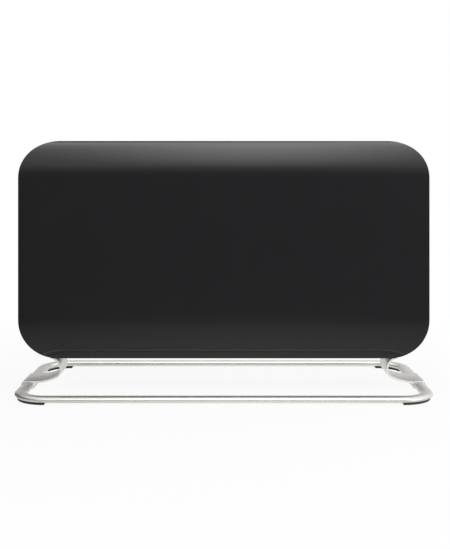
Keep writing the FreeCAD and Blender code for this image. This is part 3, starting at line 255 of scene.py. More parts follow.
def placed(obj, matrix, name, coat, sharp=35.0):
    """An outline made a clean mesh and moved to its place."""
    obj = settled(obj, name, sharp)
    mesh = bmesh.new()
    mesh.from_mesh(obj.data)
    bmesh.ops.remove_doubles(mesh, verts=mesh.verts, dist=weld)
    bmesh.ops.transform(mesh, matrix=matrix, verts=mesh.verts)
    bmesh.ops.recalc_face_normals(mesh, faces=mesh.faces)
    mesh.to_mesh(obj.data)
    mesh.free()
    shaded(obj.data, sharp)
    coated(obj, coat)
    return obj


def extruded(name, loops, length, edge, seat, coat, sharp=35.0):
    """Outlines pushed out to a length about their own plane, with bevelled edges, in their place."""
    outline = bpy.data.curves.new(name, "CURVE")
    outline.dimensions = "2D"
    outline.fill_mode = "BOTH"
    outline.extrude = length / 2 - edge
    outline.bevel_depth = edge
    outline.bevel_resolution = 2
    outline.offset = -edge
    for loop in loops:
        spline = outline.splines.new("POLY")
        spline.points.add(len(loop) - 1)
        spline.use_cyclic_u = True
        for point, (u, v) in zip(spline.points, loop):
            point.co = (u, v, 0.0, 1.0)
    return placed(linked(outline, name), seat, name, coat, sharp)


def made(mesh, name):
    """An object from faces drawn in code."""
    data = bpy.data.meshes.new(name)
    mesh.to_mesh(data)
    mesh.free()
    return linked(data, name)


def joined(parts, name):
    """Several objects made one piece."""
    mesh = bmesh.new()
    for part in parts:
        mesh.from_mesh(part.data)
    material = parts[0].data.materials[0]
    for part in parts:
        bpy.data.objects.remove(part)
    whole = made(mesh, name)
    coated(whole, material)
    return whole


along_y = Matrix(((1, 0, 0, 0), (0, 0, -1, 0), (0, 1, 0, 0), (0, 0, 0, 1)))
bracket_low, bracket_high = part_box("left_foot_bracket")
bracket_mid_y = (bracket_low.y + bracket_high.y) / 2
bracket_length = bracket_high.y - bracket_low.y
casing_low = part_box("front_panel")[0]
casing_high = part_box("rear_panel")[1]
shoulder_z = casing_low.z - shoulder_gap
leaf_top = rail_z + rail_height / 2 + sleeve_grow
leaf_mid = leaf_top - curl_plate / 2
leaf_low = leaf_top - curl_plate
lead_turn = radians(curl_lead_angle)
lead_at = (-rail_x + leaf_flat, leaf_mid + curl_lead_r)
hook_at = (
    lead_at[0] + (curl_lead_r - curl_hook_r) * sin(lead_turn),
    lead_at[1] - (curl_lead_r - curl_hook_r) * cos(lead_turn),
)
head_at = (hook_at[0] + curl_hook_r - curl_head_r, hook_at[1])
hook_start = curl_lead_angle - 90
half_plate = curl_plate / 2
under_end = degrees(asin((shoulder_z - head_at[1]) / (curl_head_r + half_plate)))
over_end = degrees(asin((shoulder_z - head_at[1]) / (curl_head_r - half_plate)))
sleeve_half_u = rail_width / 2 + sleeve_grow
sleeve_half_v = rail_height / 2 + sleeve_grow
sleeve_outer_u = -rail_x - sleeve_half_u + sleeve_r
sleeve_inner_u = -rail_x + sleeve_half_u - sleeve_r
sleeve_lower_v = rail_z - sleeve_half_v + sleeve_r
sleeve_upper_v = rail_z + sleeve_half_v - sleeve_r
leaf_meets = degrees(asin((leaf_low - sleeve_upper_v) / sleeve_r))
foot_outline = (
    arc(*lead_at, curl_lead_r + half_plate, leaf_start, hook_start, lead_steps)
    + arc(*hook_at, curl_hook_r + half_plate, hook_start, 0, curl_steps)[1:]
    + arc(*head_at, curl_head_r + half_plate, 0, under_end, curl_steps)[1:]
    + arc(*head_at, curl_head_r - half_plate, over_end, 0, curl_steps)
    + arc(*hook_at, curl_hook_r - half_plate, 0, hook_start, curl_steps)[1:]
    + arc(*lead_at, curl_lead_r - half_plate, hook_start, -90, lead_steps)[1:]
    + arc(sleeve_outer_u, sleeve_upper_v, sleeve_r, 90, 180, corner_steps)
    + arc(sleeve_outer_u, sleeve_lower_v, sleeve_r, 180, 270, corner_steps)
    + arc(sleeve_inner_u, sleeve_lower_v, sleeve_r, 270, 360, corner_steps)
    + arc(sleeve_inner_u, sleeve_upper_v, sleeve_r, 0, leaf_meets, meet_steps)
)
sleeve_bore = []
for step in range(bore_steps):
    turn = radians(360 / bore_steps * step)
    u = -rail_x + (rail_width / 2 + sleeve_clear) * cos(turn)
    sleeve_bore.append((u, rail_z + (rail_height / 2 + sleeve_clear) * sin(turn)))
head_end = asin((casing_low.z - head_at[1]) / curl_head_r)
tab_mid_x = head_at[0] + curl_head_r * cos(head_end)
tab_low_z = shoulder_z - tab_root
tab_mid_z = (tab_low_z + bracket_high.z) / 2
tab_half_z = bracket_high.z - tab_mid_z
tab_half = (tab_thickness / 2, tab_half_z)
tab_outline = rounded_loop(tab_mid_x, tab_mid_z, *tab_half, tab_corner_r, tab_corner_steps)
sawn_aluminium = finish("sawn_aluminium", sawn_colour, 0.65, metallic=1.0, grain=4200.0, shade=0.03)
for node, side in (("left_foot_bracket", 1), ("right_foot_bracket", -1)):
    mirror = Matrix.Diagonal((side, 1, 1, 1))
    seat = mirror @ Matrix.Translation((0, bracket_mid_y, 0)) @ along_y
    foot_loops = [foot_outline, sleeve_bore]
    foot = extruded("foot_run", foot_loops, bracket_length, bracket_edge, seat, satin_aluminium)
    seat = mirror @ Matrix.Translation((0, bracket_mid_y - tab_forward, 0)) @ along_y
    tab = extruded("foot_tab", [tab_outline], tab_length, bracket_edge, seat, satin_aluminium)
    bracket = joined([foot, tab], node.replace("bracket", "extrusion"))
    bracket.data.materials.append(sawn_aluminium)
    for face in bracket.data.polygons:
        face.material_index = int(abs(face.normal.y) > sawn_facing)
    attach(bracket, "heater")
    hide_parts(node)


# Corner pads: four moulded black rubber strips glued under the bends of the rails.
# They follow the bend, are cut square at both ends, and keep the metal off the floor.
pad_width = 0.012
pad_sweep = 72.0
pad_steps = 24
pad_edge = 0.0004
pad_sink = 0.0007
pad_colour = (0.045, 0.045, 0.043)
pad_low, pad_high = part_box("front_left_pad")
pad_height = pad_high.z - pad_low.z + pad_sink
bend_x = rail_x - rail_bend_r
bend_y = -rail_front_y - rail_bend_r
pad_start = 270 - pad_sweep
pad_outline = arc(-bend_x, -bend_y, rail_bend_r + pad_width / 2, pad_start, 270, pad_steps)
pad_outline += arc(-bend_x, -bend_y, rail_bend_r - pad_width / 2, 270, pad_start, pad_steps)
pad_rubber = finish("pad_rubber", pad_colour, 0.72, grain=1800.0, shade=0.25, relief=0.00003)
for node, side, way in (
    ("front_left_pad", 1, 1),
    ("front_right_pad", -1, 1),
    ("rear_left_pad", 1, -1),
    ("rear_right_pad", -1, -1),
):
    seat = Matrix.Diagonal((side, way, 1, 1)) @ Matrix.Translation((0, 0, pad_low.z + pad_height / 2))
    pad = extruded(node + "_strip", [pad_outline], pad_height, pad_edge, seat, pad_rubber)
    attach(pad, "heater")
    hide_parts(node)


# Front panel: one deep-drawn steel sheet in black semi-gloss enamel, flat sided, with its top rolled back,
# its foot swept back and a small drawn radius all round. The underside is pierced for the inlet and brackets.
casing_half = casing_high.x
casing_bottom = casing_low.z
casing_top = casing_high.z
casing_front = casing_low.y
casing_back = casing_high.y
corner_r = 0.062
corner_fullness = 2.15
sheet = 0.0012
edge_r = 0.0009
edge_steps = 6
face_margin = 0.012
front_roll_r = 0.062
sweep_r = 0.310
sweep_height = 0.076
seam_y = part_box("front_panel")[1].y
pan_half_columns = 8
pan_columns = [i / pan_half_columns - 1 for i in range(2 * pan_half_columns + 1)]
pan_turns = 20
pan_weld = 0.000003
margin_steps = 9
level_gap = 0.004
flat_level = 0.090
sweep_level = 0.007
inlet_margin = 0.016
inlet_lap = 0.0037
slot_clear = 0.0005
cut_reach = 0.012
enamel_colour = (0.0119, 0.0119, 0.0138)


def face_depth(z, facing, face_y, foot_r, foot_height, roll_r):
    """Depth of a panel's face at a height: curved foot, flat middle, rolled top."""
    below = casing_bottom + foot_height - z
    above = z - (casing_top - roll_r)
    if below <= 0 and above <= 0:
        return face_y
    radius = foot_r if below > 0 else roll_r
    rise = below if below > 0 else above
    return face_y - facing * radius + facing * sqrt(max(0.0, radius**2 - rise**2))


def outline_stations(levels):
    """Points round the casing's outline with their inward directions: top, right, bottom and left runs."""
    flat = casing_half - corner_r
    high = casing_top - corner_r
    low = casing_bottom + corner_r
    top = [((flat * u, casing_top), (0, -1)) for u in pan_columns]
    right = []
    for i in range(1, pan_turns + 1):
        a = radians(90 - 90 * i / pan_turns)
        u = cos(a) ** (2 / corner_fullness)
        v = abs(sin(a)) ** (2 / corner_fullness)
        n = Vector((u ** (corner_fullness - 1), v ** (corner_fullness - 1))).normalized()
        right.append(((flat + corner_r * u, high + corner_r * v), (-n[0], -n[1])))
    right += [((casing_half, z), (-1, 0)) for z in levels]
    for i in range(pan_turns):
        a = radians(-90 * i / pan_turns)
        n = (cos(a), sin(a))
        right.append(((flat + corner_r * n[0], low + corner_r * n[1]), (-n[0], -n[1])))
    bottom = [((flat * u, casing_bottom), (0, 1)) for u in reversed(pan_columns)]
    left = [((-p[0], p[1]), (-n[0], n[1])) for p, n in reversed(right)]
    return top, right, bottom, left


def edge_profile(point, inward, facing, face, rim_y, margins):
    """Wall, rounded edge and margin of the face at one station, as points in space."""
    nudge = 0.000002
    tries = 40

    def height(d):
        return facing * face_depth(point[1] + inward[1] * d, facing, *face)

    def slope(d):
        return max(0.0, (height(d + nudge) - height(d)) / nudge)

    start = edge_r
    for _ in range(tries):
        lean = slope(start)
        start = 0.5 * start + 0.5 * edge_r * (1 - lean / sqrt(1 + lean**2))
    lean = slope(start)
    length = sqrt(1 + lean**2)
    centre = height(start) - edge_r / length
    last = atan2(1 / length, -lean / length)
    rows = [(0.0, facing * rim_y)]
    for i in range(edge_steps + 1):
        a = pi + (last - pi) * i / edge_steps
        rows.append((edge_r + edge_r * cos(a), centre + edge_r * sin(a)))
    for share in margins:
        d = start + (face_margin - start) * share
        rows.append((d, height(d)))
    return [Vector((point[0] + inward[0] * d, facing * h, point[1] + inward[1] * d)) for d, h in rows]


def pressed_pan(name, facing, face, rim_y, levels):
    """Skin of a pressed panel: side wall, rounded edge and a face whose depth follows its height."""
    roll_r = face[-1]
    end_turn = asin((roll_r - face_margin) / roll_r)
    margins = []
    for i in range(1, margin_steps + 1):
        sine = sin(pi / 2 + (end_turn - pi / 2) * i / margin_steps)
        margins.append((1 - sine) / (1 - sin(end_turn)))
    top, right, bottom, left = outline_stations(levels)
    mesh = bmesh.new()
    rings = []
    for point, inward in top + right + bottom + left:
        rows = edge_profile(point, inward, facing, face, rim_y, margins)
        rings.append([mesh.verts.new(p) for p in rows])
    for here, following in zip(rings, rings[1:] + rings[:1]):
        for k in range(len(here) - 1):
            mesh.faces.new((here[k], following[k], following[k + 1], here[k + 1]))
    wide = len(top)
    tall = len(right)
    inner = [ring[-1] for ring in rings]
    grid = [inner[:wide]]
    for j in range(tall):
        right_end = inner[wide + j]
        left_end = inner[len(rings) - 1 - j]
        row = [left_end]
        for u in pan_columns[1:-1]:
            x = left_end.co.x + (right_end.co.x - left_end.co.x) * (u + 1) / 2
            row.append(mesh.verts.new((x, right_end.co.y, right_end.co.z)))
        grid.append(row + [right_end])
    grid.append(inner[wide + tall:2 * wide + tall][::-1])
    for upper, lower in zip(grid, grid[1:]):
        for i in range(wide - 1):
            mesh.faces.new((upper[i], lower[i], lower[i + 1], upper[i + 1]))
    bmesh.ops.remove_doubles(mesh, verts=mesh.verts, dist=pan_weld)
    bmesh.ops.dissolve_degenerate(mesh, edges=mesh.edges, dist=weld)
    bmesh.ops.recalc_face_normals(mesh, faces=mesh.faces)
    largest = max(mesh.faces, key=lambda each: each.calc_area())
    if largest.normal.y * facing < 0:
        bmesh.ops.reverse_faces(mesh, faces=mesh.faces)
    pan = made(mesh, name)
    wall = pan.modifiers.new("sheet", "SOLIDIFY")
    wall.thickness = sheet
    wall.offset = -1.0
    wall.use_even_offset = True
    return pan


def block(name, low, high):
    """Cutting block between two corners."""
    mesh = bmesh.new()
    bmesh.ops.create_cube(mesh, size=1.0)
    middle = (Vector(low) + Vector(high)) / 2
    size = Vector(high) - Vector(low)
    seat = Matrix.Translation(middle) @ Matrix.Diagonal((*size, 1))
    bmesh.ops.transform(mesh, matrix=seat, verts=mesh.verts)
    return made(mesh, name)


def pierced(pan, cutters, name, coat, added=()):
    """A panel with openings cut by blocks, its normals held true to its large faces."""
    pan_sharp = 30.0
    for cutter in cutters:
        cut = pan.modifiers.new("opening", "BOOLEAN")
        cut.operation = "DIFFERENCE"
        cut.solver = "EXACT"
        cut.object = cutter
    pan = settled(pan, name, pan_sharp)
    coated(pan, coat)
    for cutter in cutters:
        bpy.data.objects.remove(cutter)
    if added:
        pan = joined([pan, *added], name)
        shaded(pan.data, pan_sharp)
    even = pan.modifiers.new("even", "WEIGHTED_NORMAL")
    even.keep_sharp = True
    mesh = evaluated(pan)
    pan.modifiers.clear()
    pan.data = mesh
    return pan


black_enamel = finish("black_enamel", enamel_colour, 0.32, grain=700.0, shade=0.05, relief=0.0000012)
enamel = black_enamel.node_tree.nodes["Principled BSDF"]
enamel.inputs["Specular IOR Level"].default_value = 0.19
enamel.inputs["Coat Weight"].default_value = 0.42
enamel.inputs["Coat Roughness"].default_value = 0.045
front_levels = [
    casing_top - corner_r - level_gap,
    casing_bottom + sweep_height + flat_level,
    casing_bottom + sweep_height + level_gap,
    casing_bottom + sweep_height,
    casing_bottom + sweep_height - sweep_level,
]
inlet_low, inlet_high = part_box("inlet_grille")
openings = [
    block(
        "inlet_window",
        (inlet_low.x + inlet_margin, inlet_low.y + inlet_lap, casing_bottom - cut_reach),
        (inlet_high.x - inlet_margin, inlet_high.y - inlet_lap, casing_bottom + sheet * 2),
    )
]
tab_x = tab_mid_x - tab_thickness / 2
tab_y = bracket_mid_y - tab_forward
for side in (1, -1):
    ends = sorted((side * (tab_x - slot_clear), side * (tab_x + tab_thickness + slot_clear)))
    slot_low = (ends[0], tab_y - tab_length / 2 - slot_clear, casing_bottom - cut_reach)
    slot_high = (ends[1], tab_y + tab_length / 2 + slot_clear, casing_bottom + sheet * 4)
    openings.append(block("bracket_slot", slot_low, slot_high))
front_face = (casing_front, sweep_r, sweep_height, front_roll_r)
front = pressed_pan("front_skin", -1, front_face, seam_y, front_levels)
front = pierced(front, openings, "front_pressing", black_enamel)
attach(front, "heater")
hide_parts("front_panel")


# End frames, partition and baffle: folded sheets of zinc-coated steel, spot-welded inside the casing.
# They carry the heating element and keep the warm air off the controls, and show only through the grilles.
def dress(material, *nodes):
    """Gives pieces whose shape is right in the frame a finish of their own."""
    for node in nodes:
        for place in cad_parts[node].material_slots:
            place.material = material


zinc_coat = finish("zinc_coat", (0.60, 0.61, 0.62), 0.36, metallic=1.0, grain=5200.0, shade=0.16, cells=True)
dress(zinc_coat, "left_end_frame", "right_end_frame", "control_partition", "air_baffle")


# Heating element: an aluminium extrusion with slotted fins, pressed round a steel-sheathed heating rod.
# Moulded silicone bushes hold its two ends in the end frame and the partition and let it grow with heat.
element_metal = finish("element_metal", (0.66, 0.655, 0.64), 0.42, metallic=1.0, grain=3000.0, shade=0.06)
rod_steel = finish("rod_steel", (0.50, 0.49, 0.47), 0.30, metallic=1.0, grain=2400.0, shade=0.10)
red_silicone = finish("red_silicone", (0.30, 0.055, 0.035), 0.55, grain=1500.0, shade=0.10, relief=0.00001)
dress(element_metal, "element_fins")
dress(rod_steel, "element_rod")
dress(red_silicone, "left_element_bush", "right_element_bush")


# Thermostat, switch housings, cut-out, tilt switch, terminal block and leads: moulded electrical parts.
# They sit behind the control panel and on the partition, and sleeved leads run between their blades.
moulding_colour = (0.014, 0.014, 0.0145)
black_moulding = finish("black_moulding", moulding_colour, 0.46, grain=2200.0, shade=0.12, relief=0.00001)
pale_moulding = finish("pale_moulding", (0.58, 0.56, 0.50), 0.50, grain=1800.0, shade=0.05, relief=0.000008)
lead_sleeve = finish("lead_sleeve", (0.50, 0.47, 0.42), 0.70, grain=3600.0, shade=0.14, relief=0.00006)
dress(black_moulding, "thermal_cutout", "tilt_switch", "lower_switch_housing", "upper_switch_housing")
dress(pale_moulding, "terminal_block", "thermostat")
dress(lead_sleeve, "wiring")


# Bolts, nuts and spindle: bright zinc-plated steel.
# Two bolts and nuts on each side hold the tab of the foot bracket to the end frame inside the casing.
bright_steel = finish("bright_steel", (0.68, 0.68, 0.67), 0.26, metallic=1.0, grain=2600.0, shade=0.06)
dress(bright_steel, "bracket_bolts", "bracket_nuts", "thermostat_spindle")


# Inlet grille: a black enamelled steel plate with punched slots, screwed over the air inlet in the underside.
# Cold air enters through it, and it is seen only from below.
dress(black_enamel, "inlet_grille")


# Rear panel: a second steel pressing in the same enamel, flat, its top rolled forward and its heel rounded.
# A joggled lip round its rim slips inside the front panel, so that a fine dark seam shows behind the crown.
rear_roll_r = 0.026
heel_r = 0.014
rear_rim_y = 0.0138
rear_mid_levels = (0.250, 0.160)
lip_inset = 0.0015
lip_front_y = 0.006
lip_back_y = 0.015
outlet_half = 0.250
outlet_low = 0.349
outlet_front_y = 0.0173
tray_centre = (0.232, 0.250)
tray_opening = (0.0284, 0.0664)
gland_centre = (0.232, 0.092)
gland_opening = (0.0092, 0.0092)


def rim_lip(name, levels):
    """Closed band inside the outline, from the rim of the panel forward under the other panel's edge."""
    section = (
        (lip_inset, lip_back_y),
        (lip_inset, lip_front_y),
        (lip_inset + sheet, lip_front_y),
        (lip_inset + sheet, lip_back_y),
    )
    mesh = bmesh.new()
    rings = []
    for run in outline_stations(levels):
        for (x, z), (to_x, to_z) in run:
            rings.append([mesh.verts.new((x + to_x * d, y, z + to_z * d)) for d, y in section])
    for here, following in zip(rings, rings[1:] + rings[:1]):
        for k in range(len(section)):
            after = (k + 1) % len(section)
            mesh.faces.new((here[k], following[k], following[after], here[after]))
    bmesh.ops.remove_doubles(mesh, verts=mesh.verts, dist=pan_weld)
    bmesh.ops.recalc_face_normals(mesh, faces=mesh.faces)
    return made(mesh, name)


def hole(name, centre, half, near, far):
    """Cutting block about a point of the rear, from one depth to another."""
    low = (centre[0] - half[0], near, centre[1] - half[1])
    high = (centre[0] + half[0], far, centre[1] + half[1])
    return block(name, low, high)


rear_levels = [casing_top - corner_r - level_gap, *rear_mid_levels, casing_bottom + corner_r + level_gap]
through = (casing_back - cut_reach, casing_back + cut_reach)
openings = [
    block(
        "outlet_window",
        (-outlet_half, outlet_front_y, outlet_low),
        (outlet_half, casing_back + cut_reach, casing_top + cut_reach),
    ),
    hole("tray_window", tray_centre, tray_opening, *through),
    hole("gland_window", gland_centre, gland_opening, *through),
]
rear_face = (casing_back, heel_r, heel_r, rear_roll_r)
rear = pressed_pan("rear_skin", 1, rear_face, rear_rim_y, rear_levels)
lip = rim_lip("rear_lip", rear_levels)
rear = pierced(rear, openings, "rear_pressing", black_enamel, [lip])
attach(rear, "heater")
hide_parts("rear_panel")


# Outlet grille: one black moulding that follows the rear roll, snapped into the opening in the rear panel.
# Upright blades stand between a border and a thin tie bar, and the warm air leaves between them.
grille_outer_r = 0.0257
grille_inner_r = 0.018
grille_low = 0.3494
grille_half = 0.2496
grille_clear = 0.0004
grille_edge = 0.0004
blade_thickness = 0.004
blade_pitch = 0.015
blade_count = 31
blade_steps = 14
side_border = 0.0116
border = 0.004
strip_steps = 4
bar_inset = 0.00015
tie_side = 0.0026
tie_at = (0.02871, 0.39121)


def row_tree():
    """Copies of one shape set out along X at an even pitch."""
    tree, given = node_tree("even_row", ("Count", "Int"), ("Start", "Vector"), ("Pitch", "Vector"))
    spacing = {"Count": given["Count"], "Start Location": given["Start"], "Offset": given["Pitch"]}
    line = add(tree, "GeometryNodeMeshLine", spacing, mode="OFFSET")
    copies = {"Points": line.outputs["Mesh"], "Instance": given["Geometry"]}
    spread = add(tree, "GeometryNodeInstanceOnPoints", copies)
    return close_tree(tree, spread.outputs["Instances"], given)


along_x = Matrix(((0, 0, 1, 0), (1, 0, 0, 0), (0, 1, 0, 0), (0, 0, 0, 1)))
roll_y = casing_back - rear_roll_r
roll_z = casing_top - rear_roll_r
grille_front_y = outlet_front_y + grille_clear
bar_outer_r = grille_outer_r - bar_inset
bar_inner_r = grille_inner_r + bar_inset


def roll_angle(y, radius):
    """Angle at which a circle about the roll's axis reaches a depth."""
    return degrees(acos((y - roll_y) / radius))


blade_outline = (
    arc(roll_y, roll_z, grille_outer_r, 0, roll_angle(grille_front_y, grille_outer_r), blade_steps)
    + arc(roll_y, roll_z, grille_inner_r, roll_angle(grille_front_y, grille_inner_r), 0, blade_steps)
    + [(roll_y + grille_inner_r, grille_low), (roll_y + grille_outer_r, grille_low)]
)
strip_front = grille_front_y + bar_inset
strip_back = grille_front_y + border
strip_outline = []
for radius, near, far in ((bar_outer_r, strip_back, strip_front), (bar_inner_r, strip_front, strip_back)):
    ends = (roll_angle(near, radius), roll_angle(far, radius))
    strip_outline += arc(roll_y, roll_z, radius, *ends, strip_steps)
sill_outline = [
    (roll_y + bar_inner_r, grille_low + bar_inset),
    (roll_y + bar_outer_r, grille_low + bar_inset),
    (roll_y + bar_outer_r, grille_low + border),
    (roll_y + bar_inner_r, grille_low + border),
]
tie_reach = tie_side * sqrt(0.5)
tie_outline = [
    (tie_at[0] + tie_reach, tie_at[1]),
    (tie_at[0], tie_at[1] + tie_reach),
    (tie_at[0] - tie_reach, tie_at[1]),
    (tie_at[0], tie_at[1] - tie_reach),
]
blade = extruded("blade", [blade_outline], blade_thickness, grille_edge, along_x, black_moulding)
grow(
    blade,
    row_tree(),
    Count=blade_count,
    Start=(-blade_pitch * (blade_count - 1) / 2, 0.0, 0.0),
    Pitch=(blade_pitch, 0.0, 0.0),
    Finish=black_moulding,
)
grille_parts = [settled(blade, "blades")]
for outline, length, x in (
    (blade_outline, side_border, grille_half - side_border / 2),
    (blade_outline, side_border, side_border / 2 - grille_half),
    (strip_outline, 2 * grille_half - 2 * grille_edge, 0.0),
    (sill_outline, 2 * grille_half - 2 * grille_edge, 0.0),
    (tie_outline, 2 * grille_half - border, 0.0),
):
    seat = Matrix.Translation((x, 0, 0)) @ along_x
    grille_parts.append(extruded("bar", [outline], length, grille_edge, seat, black_moulding))
grille = joined(grille_parts, "outlet_moulding")
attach(grille, "heater")
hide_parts("outlet_grille")


# Control panel: a black moulded tray let into the rear panel, with a flat rim over the edge of the sheet.
# Its floor is pierced for the thermostat and two switches, and pale numbers are printed round the knob.
tray_rim = (0.034, 0.072, 0.014)
tray_inner = (0.026, 0.064, 0.006)
tray_outer = (0.028, 0.066, 0.008)
tray_rim_top = 0.0425
tray_floor = 0.0325
tray_back = 0.030
tray_fillet = 0.0006
fillet_steps = 3
ring_corner_steps = 10
shell_sharp = 40.0
rim_round = 0.0012
knob_at = (0.232, 0.292)
switch_heights = (0.207, 0.237)
switch_hole = (0.00655, 0.00965)
bushing_hole_r = 0.0048
floor_reach = 0.002
number_count = 6
number_ring = 0.0220
number_size = 0.0036
number_step = 54.0
number_start = -135
ink = 0.0001
ink_lift = 0.00004


def lofted(name, centre, rings, coat, closed=False):
    """Shell through rings, capped at both ends or closed on itself.

    A ring is a rounded rectangle: its half width, half height, corner radius and depth along Y.
    """
    mesh = bmesh.new()
    loops = []
    for half_x, half_z, radius, y in rings:
        outline = rounded_loop(*centre, half_x, half_z, radius, ring_corner_steps)
        loops.append([mesh.verts.new((u, y, v)) for u, v in outline])
    count = len(loops[0])
    pairs = list(zip(loops, loops[1:]))
    if closed:
        pairs.append((loops[-1], loops[0]))
    else:
        mesh.faces.new(loops[0])
        mesh.faces.new(loops[-1])
    for near, far in pairs:
        for k in range(count):
            mesh.faces.new((near[k], near[(k + 1) % count], far[(k + 1) % count], far[k]))
    bmesh.ops.remove_doubles(mesh, verts=mesh.verts, dist=weld)
    bmesh.ops.recalc_face_normals(mesh, faces=mesh.faces)
    shell = made(mesh, name)
    shaded(shell.data, shell_sharp)
    coated(shell, coat)
    return shell


def disc(radius, y):
    """Round ring at a depth."""
    return (radius, radius, radius, y)


def inset_ring(sizes, inset, y):
    """Ring drawn in by an inset, at a depth."""
    return (*[size - inset for size in sizes], y)


def rim_rings(sizes, y, round_r, steps=4):
    """Rings over a rounded edge, from the upright side to the flat on top."""
    turns = [radians(90 * i / steps) for i in range(steps + 1)]
    return [inset_ring(sizes, round_r * (1 - cos(a)), y - round_r + round_r * sin(a)) for a in turns]


def printed(text, place, coat):
    """Printed number, made a thin mesh and laid on a surface."""
    words = bpy.data.curves.new("number", "FONT")
    words.body = text
    words.size = number_size
    words.align_x = "CENTER"
    words.align_y = "CENTER"
    words.extrude = ink / 2
    return placed(linked(words, "number"), place, "number", coat)


fillet_turns = [radians(90 * i / fillet_steps) for i in range(fillet_steps + 1)]
tray_rings = []
for a in fillet_turns:
    y = tray_floor + tray_fillet * (1 - cos(a))
    tray_rings.append(inset_ring(tray_inner, tray_fillet * (1 - sin(a)), y))
for a in fillet_turns:
    y = tray_rim_top - tray_fillet + tray_fillet * sin(a)
    tray_rings.append(inset_ring(tray_inner, tray_fillet * (cos(a) - 1), y))
tray_rings += rim_rings(tray_rim, tray_rim_top, rim_round)[::-1]
tray_rings += [(*tray_rim, casing_back), (*tray_outer, casing_back), (*tray_outer, tray_back)]
tray = lofted("tray_shell", tray_centre, tray_rings, black_moulding)
through = (tray_back - floor_reach, tray_floor + floor_reach)
openings = [hole("switch_hole", (tray_centre[0], z), switch_hole, *through) for z in switch_heights]
bushing = [disc(bushing_hole_r, y) for y in through]
openings.append(lofted("bushing_hole", knob_at, bushing, black_moulding))
tray = pierced(tray, openings, "control_tray", black_moulding)
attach(tray, "heater")
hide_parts("control_panel")
pale_print = finish("pale_print", (0.62, 0.62, 0.60), 0.55, grain=2600.0, shade=0.05)
facing_rear = Matrix(((-1, 0, 0, 0), (0, 0, 1, 0), (0, 1, 0, 0), (0, 0, 0, 1)))
numbers = []
for i in range(number_count):
    turn = radians(i * number_step + number_start)
    x = knob_at[0] - number_ring * sin(turn)
    z = knob_at[1] + number_ring * cos(turn)
    seat = Matrix.Translation((x, tray_floor + ink_lift, z)) @ facing_rear
    numbers.append(printed(str(i + 1), seat, pale_print))
dial_numbers = joined(numbers, "dial_numbers")
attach(dial_numbers, "heater")


# Thermostat knob: a black moulded skirt with a tapered grip bar, pushed on the thermostat's spindle.
# A groove at one end of the bar is filled with pale paint and points at the numbers.
knob_base = 0.0334
knob_r = 0.020
knob_skirt_top = 0.0369
knob_top = 0.0464
knob_round = 0.001
skirt_ease = 0.0003
bar_foot = (0.0055, 0.0185, 0.0055)
bar_taper = 0.0008
groove_half = 0.0009
groove_depth = 0.0007
groove_from = 0.008
pointer_half = 0.0045
pointer_corner = 0.0003
pointer_sink = 0.0001
pointer_rise = 0.0003
knob_rest = -45.0
knob_colour = (0.016, 0.016, 0.0165)
knob_moulding = finish("knob_moulding", knob_colour, 0.34, grain=2400.0, shade=0.12, relief=0.000006)
skirt_rings = [disc(knob_r - skirt_ease, knob_base), disc(knob_r, knob_base + skirt_ease)]
skirt_rings += rim_rings((knob_r, knob_r, knob_r), knob_skirt_top, knob_round)
bar_top = [size - bar_taper for size in bar_foot]
bar_rings = [(*bar_foot, knob_skirt_top - knob_round), *rim_rings(bar_top, knob_top, knob_round)]
skirt = lofted("knob_skirt", knob_at, skirt_rings, knob_moulding)
grip = lofted("knob_bar", knob_at, bar_rings, knob_moulding)
groove = block(
    "groove",
    (knob_at[0] - groove_half, knob_top - groove_depth, knob_at[1] - knob_r),
    (knob_at[0] + groove_half, knob_top + groove_depth, knob_at[1] - groove_from),
)
grip = pierced(grip, [groove], "grip", knob_moulding)
pointer_middle = (knob_at[0], knob_at[1] - groove_from - pointer_half)
pointer_rings = [
    (groove_half, pointer_half, pointer_corner, knob_top - groove_depth - pointer_sink),
    (groove_half, pointer_half, pointer_corner, knob_top - groove_depth + pointer_rise),
]
pointer = lofted("knob_pointer", pointer_middle, pointer_rings, pale_print)
knob = joined([skirt, grip], "thermostat_grip")
axis_at = Vector((knob_at[0], 0, knob_at[1]))
knob_turn = Matrix.Translation(axis_at) @ Matrix.Rotation(radians(knob_rest), 4, "Y")
knob_turn = knob_turn @ Matrix.Translation(-axis_at)
for piece in (knob, pointer):
    piece.data.transform(knob_turn)
    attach(piece, "thermostat_dial")
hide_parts("thermostat_knob")


# Switch rockers: two glossy black rockers with dished tops, snapped on pivot stubs in the switch housings.
# Each has a ring at its off end and a bar at its on end, moulded in pale plastic.
rocker_pivot = (0.232, 0.0339)
rocker_half = 0.005
rocker_reach = 0.0083
rocker_tip = 27.0
rocker_dish = 0.003
rocker_under = 0.0032
rocker_rest = -10.0
rocker_edge = 0.0004
dish_steps = 6
rocker_end_steps = 8
rocker_sharp = 45.0
mark_out = 0.0046
mark_height = 0.0002
mark_edge = 0.00002
ring_r = 0.0014
ring_steps = 23
stroke = 0.00045
stroke_corner = 0.0001
stroke_steps = 2
rocker_moulding = finish("rocker_moulding", (0.012, 0.012, 0.0125), 0.22, grain=2000.0, shade=0.10)
tip_u = rocker_reach * cos(radians(rocker_tip))
tip_v = rocker_reach * sin(radians(rocker_tip))
dish_r = (tip_u**2 + (tip_v - rocker_dish) ** 2) / (2 * (tip_v - rocker_dish))
under_angle = degrees(asin(rocker_under / rocker_reach))


def dish_height(u):
    """Height of the dished top at a distance from the pivot."""
    return rocker_dish + dish_r - sqrt(dish_r**2 - u**2)


